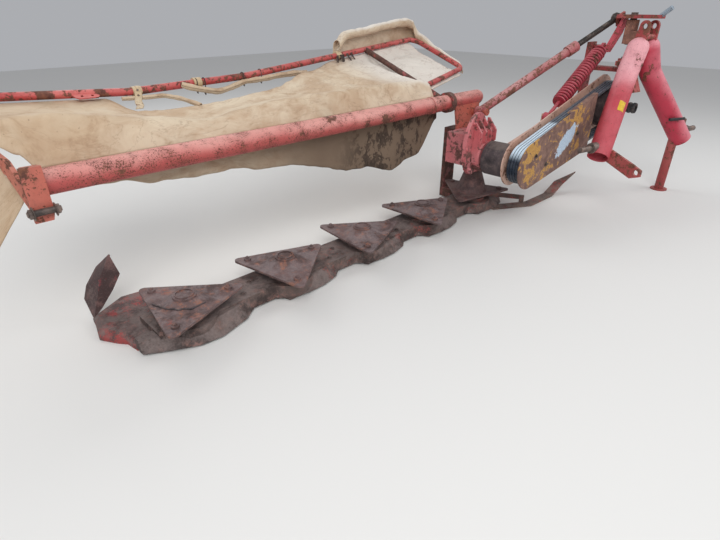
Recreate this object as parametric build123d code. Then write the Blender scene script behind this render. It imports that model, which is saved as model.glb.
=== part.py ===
from build123d import *
import os
from math import asin, atan2, cos, degrees, hypot, radians, sin

# Disc mower for a tractor's three-point linkage: a ground-hugging bar with five rotors, a folding
# canvas cover, and a belt arm that carries the bar from a swinging post on the headstock.
# Millimetres. The model is laid out from rotor 1 (outer end) on the ground: the bar runs along +X to
# the headstock, the tractor stands at -Y and +Z is up. Each solid is moved by the stand point last.

# Rotors
rotor_pitch = 400
rotor_count = 5
disc_corner_reach = 212
disc_corner_round = 17
disc_thickness = 8
disc_height = 96
disc_phases = (111.6, 9.7, 114.4, 2.3)
dome_radius = 78
dome_rise = 20
cap_radius = 38
cap_rise = 8
blade_bolt_radius = 13
blade_bolt_reach = 146
blade_bolt_rise = 9
hub_radius = 48
hub_gap = 6
rotor_shaft_radius = 20
hat_phase = 78
hat_top_radius = 40
hat_rise = 111

# Cutterbar; plan outlines of its front guards are measured from their rotor
bed_low = 8
bed_height = 58
bed_front = -52
bed_rear = 96
bed_outer = -120
pod_radius = 100
guard_top = 50
guard_slope = 0.62
first_guard = ((-177, 0), (-177, -41), (-105, -82), (-24, -121), (50, -127), (162, -93), (232, -40),
               (232, 0))
other_guard = ((-110, 0), (-110, -40), (-66, -74), (21, -104), (100, -101), (176, -81), (232, -40),
               (232, 0))
bearing_radius = 70
bearing_rise = 14
bed_inner_end = 1700
skid_width = 120
skid_front = -98
skid_bevel = 26

# Outer shoe in plan, its heights, and the folded divider that stands on it
shoe_outline = ((-177, 0), (-186, 54), (-209, 84), (-242, 141), (-222, 234), (-219, 262), (-103, 330),
                (-3, 316),
                (-3, 96), (-120, 96), (-120, 0))
shoe_edge = 14
shoe_height = 34
shoe_inset = 0.86
divider_y = 260
divider_depth = 75
divider_plate = 5

# Inner runner in plan and where it lifts off the ground
runner_outline = ((1662, -110), (1857, -222), (2187, -228), (2296, -243), (2187, -176), (1880, -170),
                  (1662, -44))
runner_lift_x = 2080
runner_tip_z = 96
stay_high = (1690, -46, 80)
stay_low = (1865, -166, 46)
stay_width = 24
stay_plate = 8
stay_bracket = 28

# Main tube, gearbox and the pivot of the belt arm
main_tube_radius = 36
main_tube_wall = 6
main_tube_y = 125
main_tube_z = 535
main_tube_outer = -270
main_tube_inner = 1746
pivot_inset = 70
bar_pivot_z = 310
flange_radius = 145
flange_thickness = 18
flange_spot = (1508, -50, 365)
flange_turn = 15
casting_front = -112
casting_rear = -60
casting_left = 1455
casting_right = 1600
casting_top = 440
gear_side = 55
gearbox_rear = 94
gearbox_low = 256
gearbox_top = 404
boss_wall = 22
trunnion_depth = 38
tower_radius = 45
tower_gap = 6
rib_count = 4
rib_width = 9
rib_pitch = 40
rib_top = 480
column_gap = 6
column_plate = 22
column_inset = 30
column_width = 85
bracket_plate = 12
trunnion_radius = 50
fit_clearance = 0.05
move_gap = 6

# Belt arm
arm_reach = 848
arm_pivot_z = 473
drum_radius = 78
drum_rear = -126
beam_front = -250
beam_rear = -166
beam_height = 88
boss_radius = 62
rear_plate_y = -252
guard_plate = 6
guard_front_y = -343
guard_upper_radius = 152
guard_lower_radius = 105
guard_rim_width = 22
guard_strip = 4
guard_cut_reach = 258
pulley_front = -330
pulley_rear = -270
drive_pulley_radius = 112
driven_pulley_radius = 76
belt_thickness = 12
belt_count = 4
pto_radius = 17.5
pto_front = -440
shaft_radius = 22
shaft_hole_radius = 45
bearing_tube_radius = 46

# Headstock, laid out square in its own frame: a across, b backwards
head_inset = 48
head_y = -545
head_turn = 13.5
leg_radius = 51
leg_wall = 5
leg_spread = 361
leg_low = 290
leg_bend_a = 95
leg_bend_b = 120
leg_bend_z = 648
leg_top_a = 46
leg_top_b = 128
leg_top_z = 762
leg_bend_round = 110
hitch_pin_radius = 14.25
hitch_shoulder = 412.5
hitch_pin_length = 78
hitch_pin_z = 337
linch_hole_radius = 5.5
ear_a = 38
ear_thick = 12
ear_radius = 26
top_hole_radius = 12.7
top_hole_b = 120
top_hole_z = 862
saddle_radius = 14
stand_a = 331
stand_b = 24
stand_radius = 24
stand_wall = 4
stand_top = 404
stand_foot_radius = 44
stand_foot_plate = 6
sleeve_wall = 6
sleeve_low = 298
sleeve_top = 386

# Swing frame
swing_b = 215
swing_pin_radius = 16
block_radius = 30
block_low = 778
block_top = 888
swing_plate_low = 895
swing_plate_thick = 16
swing_plate_edge = ((-24, 67), (24, 67), (54, 180), (54, 262), (30, 280), (-54, 280), (-54, 180))
lower_arm_low = 643
lower_arm_top = 663
lower_sleeve_low = 670
lower_sleeve_top = 708
post_front = -158
post_rear = -140
post_inset = 28
post_width = 80
post_top = 780

# Spring between the arm and the post
spring_y = -205
spring_radius = 38
spring_wire = 6
spring_turns = 18
spring_upper_dx = 27
spring_upper_z = 757
spring_lower = (1890, 458)
spring_pin_radius = 10
spring_eye_radius = 24
spring_eye_half = 12.7
spring_eye_slack = 4.6
spring_ear_plate = 8
coil_start = 46
coil_length = 420
spring_rod_radius = 9

# Telescopic strut
strut_low = (1690, 55, 480)
strut_high_dx = 23
strut_high_y = -247
strut_high_z = 894
strut_barrel_radius = 21
strut_collar_radius = 27.5
strut_rod_radius = 14
strut_barrel_length = 610
strut_rod_in = 120
strut_eye_half = 20
strut_eye_radius = 23
strut_pin_radius = 10
strut_head_gap = 16
strut_head_plate = 7
strut_lug_radius = 26
rod_eye_radius = 24
rod_bolt_radius = 12
rod_lug_gap = 0.5
rod_lug_plate = 12
rod_lug_half = 26

# Cover frame, a plane through the main tube's axis: reach is measured from that axis
cover_tilt = 20
cover_tube_radius = 13.5
cover_bend = 60
outer_corner = (-420, 500)
rear_kink = (158, 421)
rear_middle = (651, 451)
inner_corner = (2000, 697)
near_corner = (2000, 296)
return_end = (1516, 168)
hinge_arm_x = 1502
clamp_ring_radius = 47
clamp_ring_width = 30
outer_pin = (-305, 481)
outer_arm_width = 45
outer_arm_plate = 12
canvas_thickness = 6
clamp_wall = 6
canvas_gap = 0.4

# Stand point of the finished model: the middle of its plan box
centre_x = 1183
centre_y = 48

os.makedirs("parts", exist_ok=True)
last_rotor_x = rotor_pitch * (rotor_count - 1)
bar_pivot_x = last_rotor_x - pivot_inset
arm_pivot_x = bar_pivot_x + arm_reach
head_x = arm_pivot_x - head_inset
post_left = arm_pivot_x - post_inset
post_right = post_left + post_width
spring_upper = (arm_pivot_x + spring_upper_dx, spring_upper_z)
strut_high = (arm_pivot_x + strut_high_dx, strut_high_y, strut_high_z)
bottom = (Align.CENTER, Align.CENTER, Align.MIN)
head = Location((head_x, head_y, 0), (0, 0, -head_turn))


def save(node, *solids):
    placed = [solid.moved(Location((-centre_x, -centre_y, 0))) for piece in solids
              for solid in piece.solids()]
    shape = placed[0] if len(placed) == 1 else Compound(children=placed)
    export_step(shape, f"parts/{node}.step")


def rod(start, end, radius, bore=0):
    start = Vector(*start)
    way = Vector(*end) - start
    plane = Plane(origin=start, z_dir=way)
    shape = Solid.make_cylinder(radius, way.length, plane)
    if bore:
        shape = shape - Solid.make_cylinder(bore, way.length, plane)
    return shape


def cross_rod(x, z, front, rear, radius, bore=0):
    return rod((x, front, z), (x, rear, z), radius, bore)


def bent_tube(points, rounds, radius, bore=0):
    path = FilletPolyline(*points, radius=rounds)
    start = Plane(origin=path @ 0, z_dir=path % 0)
    section = Circle(radius)
    if bore:
        section = section - Circle(bore)
    return sweep(start * section, path=path)


def block(x, y, z):
    low = (x[0], y[0], z[0])
    return Pos(*low) * Box(x[1] - x[0], y[1] - y[0], z[1] - z[0], align=Align.MIN)


def across(outline, front, rear, corner=0):
    # An outline in x and z, as thick as front to rear along Y
    face = make_face(Polyline(*outline, close=True))
    if corner:
        face = fillet(face.vertices(), corner)
    plane = Plane((0, rear, 0), x_dir=(1, 0, 0), z_dir=(0, -1, 0))
    return extrude(plane * face, rear - front)


def sideways(outline, left, right, corner=0):
    # An outline in y and z, as thick as left to right along X
    face = make_face(Polyline(*outline, close=True))
    if corner:
        face = fillet(face.vertices(), corner)
    plane = Plane((left, 0, 0), x_dir=(0, 1, 0), z_dir=(1, 0, 0))
    return extrude(plane * face, right - left)


def flat(outline, low, top, corner=0):
    face = make_face(Polyline(*outline, close=True))
    if corner:
        face = fillet(face.vertices(), corner)
    return extrude(Pos(0, 0, low) * face, top - low)


def strap(points, width, thick, plane):
    # A flat bar with round ends that follows points on the plane, half its thickness to each side
    pieces = []
    for (u1, v1), (u2, v2) in zip(points, points[1:]):
        slot = SlotCenterToCenter(hypot(u2 - u1, v2 - v1), width)
        turn = degrees(atan2(v2 - v1, u2 - u1))
        pieces.append(Pos((u1 + u2) / 2, (v1 + v2) / 2) * Rot(0, 0, turn) * slot)
    shape = pieces[0]
    for piece in pieces[1:]:
        shape = shape + piece
    return extrude(plane * shape, thick / 2, both=True)


def loop_outline(upper, lower):
    # Round ends about the two arm pivots and the straight edges that touch both
    dx = arm_pivot_x - bar_pivot_x
    dz = arm_pivot_z - bar_pivot_z
    lean = atan2(dz, dx)
    part = asin((upper - lower) / hypot(dx, dz))
    ends = []
    for side in (1, -1):
        angle = lean + side * (radians(90) + part)
        ends.append(((bar_pivot_x + lower * cos(angle), bar_pivot_z + lower * sin(angle)),
                     (arm_pivot_x + upper * cos(angle), arm_pivot_z + upper * sin(angle))))
    (low_a, top_a), (low_b, top_b) = ends
    middle = make_face(Polyline(low_a, top_a, top_b, low_b, close=True))
    return middle + Pos(bar_pivot_x, bar_pivot_z) * Circle(lower) + Pos(arm_pivot_x,
                                                                        arm_pivot_z) * Circle(upper)


def guard_outline(grow=0):
    return loop_outline(guard_upper_radius + grow, guard_lower_radius + grow)


def belt_outline(grow):
    return loop_outline(drive_pulley_radius + grow, driven_pulley_radius + grow)


def ruled(sections):
    wires = [Wire.make_polygon([Vector(*point) for point in section], close=True) for section in sections]
    return Solid.make_loft(wires, ruled=True)


def stand_up(sketch, front, rear):
    plane = Plane((0, rear, 0), x_dir=(1, 0, 0), z_dir=(0, -1, 0))
    return extrude(plane * sketch, rear - front)


def cover_point(x, reach, lift=0):
    tilt = radians(cover_tilt)
    y = main_tube_y + reach * cos(tilt) - lift * sin(tilt)
    z = main_tube_z + reach * sin(tilt) + lift * cos(tilt)
    return (x, y, z)


hub_drop = disc_height - bed_height - bearing_rise - hub_gap
shaft_drop = disc_height - bed_height + 12


# Rotors
def triangular_disc(x, phase, rise, top_radius):
    plate = RegularPolygon(disc_corner_reach, 3)
    plate = fillet(plate.vertices(), disc_corner_round)
    shape = extrude(plate, disc_thickness)
    shape = shape + Pos(0, 0, disc_thickness) * Cone(dome_radius, top_radius, rise, align=bottom)
    for corner in range(3):
        spot = Rot(0, 0, 120 * corner) * Pos(blade_bolt_reach, 0, disc_thickness)
        shape = shape + spot * Cylinder(blade_bolt_radius, blade_bolt_rise, align=bottom)
    shape = shape + rod((0, 0, -hub_drop), (0, 0, 0), hub_radius)
    shape = shape + rod((0, 0, -shaft_drop), (0, 0, -hub_drop), rotor_shaft_radius)
    return Pos(x, 0, disc_height) * Rot(0, 0, phase) * shape


for number, phase in enumerate(disc_phases):
    x = rotor_pitch * number
    cap = Pos(x, 0, disc_height + disc_thickness + dome_rise) * Cylinder(cap_radius, cap_rise, align=bottom)
    save(f"disc_{number + 1}", triangular_disc(x, phase, dome_rise, cap_radius) + cap)

hat_top = disc_height + disc_thickness + hat_rise
tower_low = hat_top + tower_gap
hat = triangular_disc(last_rotor_x, hat_phase, hat_rise, hat_top_radius)
hat = hat + rod((last_rotor_x, 0, hat_top), (last_rotor_x, 0, tower_low + 12), rotor_shaft_radius)
save("disc_5", hat)

# Cutterbar bed with a pod, a sloping front guard and a bearing housing under each rotor
bed = block((bed_outer, bed_inner_end), (bed_front, bed_rear), (bed_low, bed_height))
cutterbar = bed
for number in range(rotor_count):
    spot = rotor_pitch * number
    outline = other_guard if number else first_guard
    cutterbar = cutterbar + rod((spot, 0, bed_low), (spot, 0, bed_height), pod_radius)
    cutterbar = cutterbar + ruled([[(spot + u, v, bed_low) for u, v in outline],
                                   [(spot + u, v * guard_slope, guard_top) for u, v in outline]])
    cutterbar = cutterbar + rod((spot, 0, bed_height), (spot, 0, bed_height + bearing_rise), bearing_radius)
for number in range(rotor_count):
    spot = rotor_pitch * number
    bore_low = disc_height - shaft_drop - 2
    cutterbar = cutterbar - rod((spot, 0, bore_low), (spot, 0, disc_height),
                                rotor_shaft_radius + fit_clearance)
save("cutterbar", cutterbar)

skid_side = [(bed_rear, 0), (skid_front + skid_bevel, 0), (skid_front, bed_low), (bed_rear, bed_low)]
skid_half = skid_width / 2
skids = [sideways(skid_side, rotor_pitch * n - skid_half, rotor_pitch * n + skid_half)
         for n in range(rotor_count)]
save("skid_shoes", *skids)

# Outer shoe, a low broad plate whose upper part tapers, and the folded divider plate
shoe_middle = (-110, 150)
shoe_top = [(shoe_middle[0] + (x - shoe_middle[0]) * shoe_inset,
             shoe_middle[1] + (y - shoe_middle[1]) * shoe_inset)
            for x, y in shoe_outline]
shoe = flat(shoe_outline, 0, shoe_edge)
shoe = shoe + ruled([[(x, y, shoe_edge) for x, y in shoe_outline],
                     [(x, y, shoe_height) for x, y in shoe_top]])
shoe = shoe - cutterbar
save("outer_skid", shoe)

right_wing = across([(-217, 15), (-165, 155), (-120, 224), (-102, 146), (-136, 97), (-182, 46)],
                    divider_y - divider_plate, divider_y)
front_fold = [(-217, 15), (-165, 155), (-120, 224), (-115, 220), (-160, 152), (-212, 14)]
rear_fold = [(-213, 58), (-195, 105), (-150, 160), (-145, 156), (-190, 102), (-208, 57)]
left_wing = ruled([[(x, divider_y, z) for x, z in front_fold],
                   [(x, divider_y + divider_depth, z) for x, z in rear_fold]])
divider = right_wing + left_wing - shoe
save("divider", max(divider.solids(), key=lambda solid: solid.volume))

# Inner runner on the ground, pointed and lifted at its end, and its stay
runner_start = runner_outline[0][0]
runner_tip = runner_outline[3][0]
runner_side = [(runner_start, 0), (runner_lift_x, 0), (runner_tip, runner_tip_z),
               (runner_tip, runner_tip_z + bed_low),
               (runner_lift_x, bed_low), (runner_start, bed_low)]
runner = flat(runner_outline, 0, runner_tip_z + bed_low) & across(runner_side, -300, 0)
runner = runner - skids[-1] - cutterbar
runner = max(runner.solids(), key=lambda solid: solid.volume)
save("inner_runner", runner)

stay_run = Vector(stay_low[0] - stay_high[0], stay_low[1] - stay_high[1], 0)
stay_plane = Plane(Vector(stay_high[0], stay_high[1], 0), x_dir=stay_run,
                   z_dir=stay_run.cross(Vector(0, 0, 1)))
stay_side = [(0, stay_high[2] - stay_width), (0, stay_high[2]), (stay_run.length, stay_low[2]),
             (stay_run.length, bed_low),
             (stay_run.length - stay_width, bed_low),
             (stay_run.length - stay_width, stay_low[2] - stay_width + 4)]
stay = extrude(stay_plane * make_face(Polyline(*stay_side, close=True)), stay_plate / 2, both=True)
stay = stay + block((stay_high[0] - stay_bracket, stay_high[0] + 2), (stay_high[1] - 2, stay_high[1] + 10),
                    (bed_height, stay_high[2] + 6))
stay = stay - cutterbar - runner
save("runner_stay", max(stay.solids(), key=lambda solid: solid.volume))

# Gearbox: ribbed casting in front with the bore for the belt arm, body behind, tower down to the hat rotor
gear_right = last_rotor_x + gear_side
gearbox = block((casting_left + 25, gear_right), (casting_rear, gearbox_rear), (gearbox_low, gearbox_top))
gearbox = gearbox + block((casting_left, casting_right), (casting_front + 12, casting_rear),
                          (bar_pivot_z - 20, casting_top))
gearbox = gearbox + cross_rod(bar_pivot_x, bar_pivot_z, casting_front, casting_rear,
                              trunnion_radius + boss_wall)
gearbox = gearbox + rod((last_rotor_x, 0, tower_low), (last_rotor_x, 0, gearbox_low + 10), tower_radius)
gearbox = gearbox + block((casting_left + 50, last_rotor_x), (casting_rear, 0),
                          (tower_low + 4, gearbox_low + 10))
rib_side = [(casting_front, casting_top - 60), (casting_front, casting_top - 10),
            (casting_rear - 10, rib_top),
            (casting_rear, rib_top), (casting_rear, casting_top - 60)]
for step in range(rib_count):
    rib_x = casting_left + 6 + step * rib_pitch
    gearbox = gearbox + sideways(rib_side, rib_x, rib_x + rib_width)
seat = cross_rod(bar_pivot_x, bar_pivot_z, casting_front - 1, casting_front + trunnion_depth,
                 trunnion_radius + fit_clearance)
gearbox = gearbox - seat
gearbox = gearbox - rod((last_rotor_x, 0, tower_low - 1), (last_rotor_x, 0, tower_low + 16),
                        rotor_shaft_radius + fit_clearance)
flange_way = Vector(sin(radians(flange_turn)), -cos(radians(flange_turn)), 0)
flange_middle = Vector(*flange_spot)
flange = rod(flange_middle - flange_way * flange_thickness / 2,
             flange_middle + flange_way * flange_thickness / 2, flange_radius)
flange = flange - block((last_rotor_x - 200, last_rotor_x + 200), (-200, 100), (0, tower_low + 4)) - gearbox
save("gearbox", gearbox)
save("swivel_flange", *[solid for solid in flange.solids() if solid.volume > 2000])

# Column behind the hat rotor that ties the gearbox to the bed
column_y = disc_corner_reach - disc_corner_round + column_gap
column_left = last_rotor_x + column_inset
column_right = column_left + column_width
column_top = gearbox_top - 20
column = block((column_left, column_right), (column_y, column_y + column_plate), (bed_low, column_top))
column = column + block((column_left, column_right), (bed_rear, column_y), (bed_low, bed_height))
column = column + block((column_left, column_right), (gearbox_rear, column_y),
                        (gearbox_low + 40, column_top))
save("gear_column", column - cutterbar)

# Main tube and its bracket
tube_start = (main_tube_outer, main_tube_y, main_tube_z)
tube_end = (main_tube_inner, main_tube_y, main_tube_z)
tube_envelope = rod(tube_start, tube_end, main_tube_radius) + Pos(*tube_end) * Sphere(main_tube_radius)
hollow_end = (main_tube_inner - 10, main_tube_y, main_tube_z)
main_tube = tube_envelope - rod((main_tube_outer - 1, main_tube_y, main_tube_z), hollow_end,
                                main_tube_radius - main_tube_wall)
save("main_tube", main_tube)
bracket_left = hinge_arm_x + clamp_ring_width / 2 + move_gap
bracket_side = [(bracket_left, 560), (1735, 560), (1735, 473), (1618, 325), (1581, 325)]
bracket = across(bracket_side, gearbox_rear, gearbox_rear + bracket_plate)
bracket = bracket - tube_envelope - column
bracket = max(bracket.solids(), key=lambda solid: solid.volume)
save("tube_bracket", bracket)

# Lower pin of the strut: a boss on the bracket, the pin and its head in front of the barrel's eye
lug_x, lug_y, lug_z = strut_low
head_rear = lug_y - strut_eye_half - strut_head_gap
boss_front = lug_y + strut_eye_half + 5
lug = cross_rod(lug_x, lug_z, boss_front, gearbox_rear, strut_lug_radius)
lug = lug + cross_rod(lug_x, lug_z, head_rear - strut_head_plate, boss_front,
                      strut_pin_radius - fit_clearance)
lug = lug + cross_rod(lug_x, lug_z, head_rear - strut_head_plate, head_rear, strut_lug_radius - 8)
save("strut_lug", lug)

# Telescopic strut; its rod's eye ends in a plane that holds the strut's line and its turning
low = Vector(*strut_low)
high = Vector(*strut_high)
strut_way = (high - low).normalized()
barrel_end = low + strut_way * strut_barrel_length
barrel = rod(low + strut_way * 8, barrel_end, strut_barrel_radius)
barrel = barrel + rod(low + strut_way * (strut_barrel_length - 60), barrel_end, strut_collar_radius)
barrel = barrel + cross_rod(lug_x, lug_z, lug_y - strut_eye_half, lug_y + strut_eye_half, strut_eye_radius)
bore_start = low + strut_way * (strut_barrel_length - strut_rod_in - 330)
barrel = barrel - rod(bore_start, high, strut_rod_radius + fit_clearance)
barrel = barrel - cross_rod(lug_x, lug_z, lug_y - 60, lug_y + 60, strut_pin_radius)
save("strut_barrel", barrel)
strut_rod = rod(low + strut_way * (strut_barrel_length - strut_rod_in), high - strut_way * 10,
                strut_rod_radius)
turn_way = Vector(-strut_way.Z, 0, strut_way.X).normalized()
eye_way = strut_way.cross(turn_way)
eye_half = strut_rod_radius + 0.5
strut_rod = strut_rod + rod(high - eye_way * eye_half, high + eye_way * eye_half, rod_eye_radius)
strut_rod = strut_rod - rod(high - eye_way * 40, high + eye_way * 40, rod_bolt_radius)
save("strut_rod", strut_rod)
rod_bolt = rod(high - eye_way * (eye_half + 10), high + eye_way * eye_half, rod_bolt_radius)
rod_bolt = rod_bolt + rod(high - eye_way * (eye_half + 10), high - eye_way * eye_half, rod_bolt_radius + 6)
save("strut_pin", rod_bolt)

# Belt arm: drum, box beam, guard plates and belts
drum = cross_rod(bar_pivot_x, bar_pivot_z, rear_plate_y, drum_rear, drum_radius)
drum = drum + cross_rod(bar_pivot_x, bar_pivot_z, drum_rear, casting_front + trunnion_depth - 1,
                        trunnion_radius)
drum = drum - cross_rod(bar_pivot_x, bar_pivot_z, rear_plate_y - 1, rear_plate_y + 70,
                        shaft_radius + fit_clearance)
save("input_drum", drum)

arm_dx = arm_pivot_x - bar_pivot_x
arm_dz = arm_pivot_z - bar_pivot_z
arm_length = hypot(arm_dx, arm_dz)
arm_lean = degrees(atan2(arm_dz, arm_dx))
beam_outline = Rot(0, 0, arm_lean) * Pos(arm_length / 2, 0) * Rectangle(arm_length, beam_height)
beam = stand_up(Pos(bar_pivot_x, bar_pivot_z) * beam_outline, beam_front, beam_rear)
beam = beam + cross_rod(arm_pivot_x, arm_pivot_z, rear_plate_y, beam_rear, boss_radius)
beam = beam - cross_rod(bar_pivot_x, bar_pivot_z, beam_front - 1, beam_rear + 1, drum_radius)
beam = beam - cross_rod(arm_pivot_x, arm_pivot_z, rear_plate_y - 1, beam_rear + 1, bearing_tube_radius)
spring_x, spring_z = spring_lower
ear_outline = [(spring_x - 26, spring_z - 84), (spring_x + 26, spring_z - 74),
               (spring_x + 16, spring_z + 18), (spring_x - 16, spring_z + 18)]
ear_inner = spring_eye_half + 0.3
for front, rear in ((-ear_inner - spring_ear_plate, -ear_inner), (ear_inner, ear_inner + spring_ear_plate)):
    beam = beam + across(ear_outline, spring_y + front, spring_y + rear)
beam = beam + cross_rod(spring_x, spring_z, spring_y - 24, spring_y + 24, spring_pin_radius)
save("arm_beam", beam)

rear_guard = stand_up(guard_outline(), rear_plate_y - guard_plate, rear_plate_y)
rear_guard = rear_guard - cross_rod(arm_pivot_x, arm_pivot_z, rear_plate_y - 20, rear_plate_y + 20,
                                    shaft_hole_radius)
rear_guard = rear_guard - cross_rod(bar_pivot_x, bar_pivot_z, rear_plate_y - 20, rear_plate_y + 20,
                                    shaft_radius + move_gap)
save("guard_rear", rear_guard)
front_guard = stand_up(guard_outline(), guard_front_y, guard_front_y + guard_plate)
ring = cross_rod(arm_pivot_x, arm_pivot_z, guard_front_y - 4, guard_front_y, guard_upper_radius,
                 guard_upper_radius - guard_rim_width)
front_guard = front_guard + ring
strip = stand_up(guard_outline() - guard_outline(-guard_strip), guard_front_y + guard_plate,
                 rear_plate_y - guard_plate)
open_end = block((bar_pivot_x - 200, bar_pivot_x + 330), (-400, -200), (0, 520))
top_slot = block((bar_pivot_x + 330, arm_pivot_x - 120), (guard_front_y + 24, rear_plate_y - 24),
                 (400, 700))
front_guard = front_guard + (strip - open_end - top_slot)
beyond_cut = block((arm_pivot_x - guard_cut_reach, arm_pivot_x + 300), (-400, -200), (0, 900))
front_guard = front_guard - beyond_cut
front_guard = front_guard - cross_rod(arm_pivot_x, arm_pivot_z, guard_front_y - 20, guard_front_y + 20,
                                      shaft_hole_radius)
save("guard_front", max(front_guard.solids(), key=lambda solid: solid.volume))

belt_loop = belt_outline(belt_thickness) - belt_outline(0.3)
belts = stand_up(belt_loop, pulley_front + 3, pulley_rear - 3)
belt_room = pulley_rear - pulley_front - 6
belt_width = belt_room / belt_count
groove_ring = belt_outline(belt_thickness + 1) - belt_outline(belt_thickness - 4)
for gap in range(1, belt_count):
    groove_y = pulley_front + 3 + gap * belt_width
    belts = belts - stand_up(groove_ring, groove_y - 1.5, groove_y + 1.5)
save("belts", belts)

drive_pulley = cross_rod(arm_pivot_x, arm_pivot_z, pulley_front, pulley_rear, drive_pulley_radius,
                         shaft_radius)
save("drive_pulley", drive_pulley)
pto = cross_rod(arm_pivot_x, arm_pivot_z, pto_front, guard_front_y - 12, pto_radius)
pto = pto + cross_rod(arm_pivot_x, arm_pivot_z, guard_front_y - 12, post_front - 2, shaft_radius)
save("pto_shaft", pto)
driven_pulley = cross_rod(bar_pivot_x, bar_pivot_z, pulley_front, pulley_rear, driven_pulley_radius)
driven_pulley = driven_pulley + cross_rod(bar_pivot_x, bar_pivot_z, pulley_rear, rear_plate_y + 60,
                                          shaft_radius)
save("driven_pulley", driven_pulley)

# Headstock legs
def leg(side):
    top = (side * leg_top_a, leg_top_b, leg_top_z)
    points = [(side * leg_spread, 0, leg_low), (side * leg_bend_a, leg_bend_b, leg_bend_z), top]
    solid = bent_tube(points, leg_bend_round, leg_radius) + Pos(*top) * Sphere(leg_radius)
    inner = bent_tube(points, leg_bend_round, leg_radius - leg_wall)
    half = block((0, 700) if side < 0 else (-700, 0), (-300, 400), (0, 1200))
    return solid - half, solid - inner - half


leg_bodies = {}
legs = {}
for name, side in (("near_leg", -1), ("far_leg", 1)):
    leg_bodies[name], legs[name] = leg(side)
sleeve_envelope = rod((stand_a, stand_b, sleeve_low), (stand_a, stand_b, sleeve_top),
                      stand_radius + sleeve_wall)
legs["far_leg"] = legs["far_leg"] - sleeve_envelope - rod((stand_a, stand_b, leg_low - leg_radius),
                                                          (stand_a, stand_b, stand_top + 60),
                                                          stand_radius + move_gap)
save("near_leg", head * legs["near_leg"])
save("far_leg", head * legs["far_leg"])
sleeve = rod((stand_a, stand_b, sleeve_low), (stand_a, stand_b, sleeve_top), stand_radius + sleeve_wall,
             stand_radius + fit_clearance)
save("stand_sleeve", head * sleeve)

stand = rod((stand_a, stand_b, stand_foot_plate), (stand_a, stand_b, stand_top), stand_radius,
            stand_radius - stand_wall)
stand = stand + rod((stand_a, stand_b, 0), (stand_a, stand_b, stand_foot_plate), stand_foot_radius)
stand = stand + rod((stand_a, stand_b, stand_top - 4), (stand_a, stand_b, stand_top), stand_radius)
stand = stand + rod((stand_a + stand_radius - stand_wall, stand_b, sleeve_top + 5.5),
                    (stand_a + 46, stand_b, sleeve_top + 5.5), 5)
save("parking_stand", head * stand)

# Lower hitch pins, drawbar plate, cap and top link plates
pins = []
for name, side in (("near_leg", -1), ("far_leg", 1)):
    along = (hitch_pin_z - leg_low) / (leg_bend_z - leg_low)
    pin_b = along * leg_bend_b
    collar = rod((side * (leg_spread - 60), pin_b, hitch_pin_z),
                 (side * hitch_shoulder, pin_b, hitch_pin_z), 25)
    pin = rod((side * hitch_shoulder, pin_b, hitch_pin_z),
              (side * (hitch_shoulder + hitch_pin_length), pin_b, hitch_pin_z), hitch_pin_radius)
    hole = rod((side * (hitch_shoulder + hitch_pin_length - 16), pin_b, hitch_pin_z - 30),
               (side * (hitch_shoulder + hitch_pin_length - 16), pin_b, hitch_pin_z + 30),
               linch_hole_radius)
    solid = collar + pin - hole - leg_bodies[name] - sleeve_envelope
    solid = max(solid.solids(), key=lambda s: s.volume)
    pins.append(head * solid)
save("hitch_pins", *pins)

drawbar = sideways([(10, 272), (10, 337), (-150, 282), (-198, 262), (-198, 232), (-150, 214)], -307, -293)
drawbar = drawbar - rod((-330, -174, 247), (-270, -174, 247), 13)
drawbar = drawbar - leg_bodies["near_leg"]
drawbar = max(drawbar.solids(), key=lambda s: s.volume)
save("drawbar_plate", head * drawbar)

ear_side = [(top_hole_b - ear_radius, top_hole_z), (top_hole_b + ear_radius, top_hole_z),
            (leg_top_b + 34, leg_top_z + 20), (leg_top_b - 34, leg_top_z + 20)]
clevis = rod((-ear_a, top_hole_b - 10, leg_top_z + 52), (ear_a, top_hole_b - 10, leg_top_z + 52),
             saddle_radius)
for side in (-1, 1):
    left = side * ear_a - ear_thick / 2
    clevis = clevis + sideways(ear_side, left, left + ear_thick)
    clevis = clevis + rod((left, top_hole_b, top_hole_z), (left + ear_thick, top_hole_b, top_hole_z),
                          ear_radius)
leg_pair = leg_bodies["near_leg"] + leg_bodies["far_leg"]
clevis = clevis - rod((-100, top_hole_b, top_hole_z), (100, top_hole_b, top_hole_z),
                      top_hole_radius) - leg_pair
save("top_clevis", head * clevis)
pivot_block = rod((0, swing_b, block_low), (0, swing_b, block_top), block_radius)
web_half = ear_a - ear_thick / 2
pivot_block = pivot_block + block((-web_half, web_half), (leg_top_b + 20, swing_b),
                                  (block_low, top_hole_z - 24))
pivot_block = pivot_block - rod((0, swing_b, 0), (0, swing_b, 1200),
                                swing_pin_radius + fit_clearance) - leg_pair - clevis
pivot_block = max(pivot_block.solids(), key=lambda solid: solid.volume)
save("pivot_block", head * pivot_block)

lower_bracket = block((-70, 70), (leg_bend_b, swing_b), (lower_sleeve_low + 8, lower_sleeve_top - 8))
lower_bracket = lower_bracket - leg_pair
lower_bracket = max(lower_bracket.solids(), key=lambda s: s.center().Y)
lower_bracket = lower_bracket + rod((0, swing_b, lower_sleeve_low), (0, swing_b, lower_sleeve_top),
                                    block_radius)
lower_bracket = lower_bracket - rod((0, swing_b, 0), (0, swing_b, 1200), swing_pin_radius + fit_clearance)
save("lower_bracket", head * lower_bracket)
gusset = sideways([(162, lower_sleeve_low + 8), (100, 556), (112, 552), (176, lower_sleeve_low + 8)], -26,
                  26)
gusset = gusset - leg_pair - lower_bracket
gusset = max(gusset.solids(), key=lambda s: s.volume)
save("gusset", head * gusset)

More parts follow.
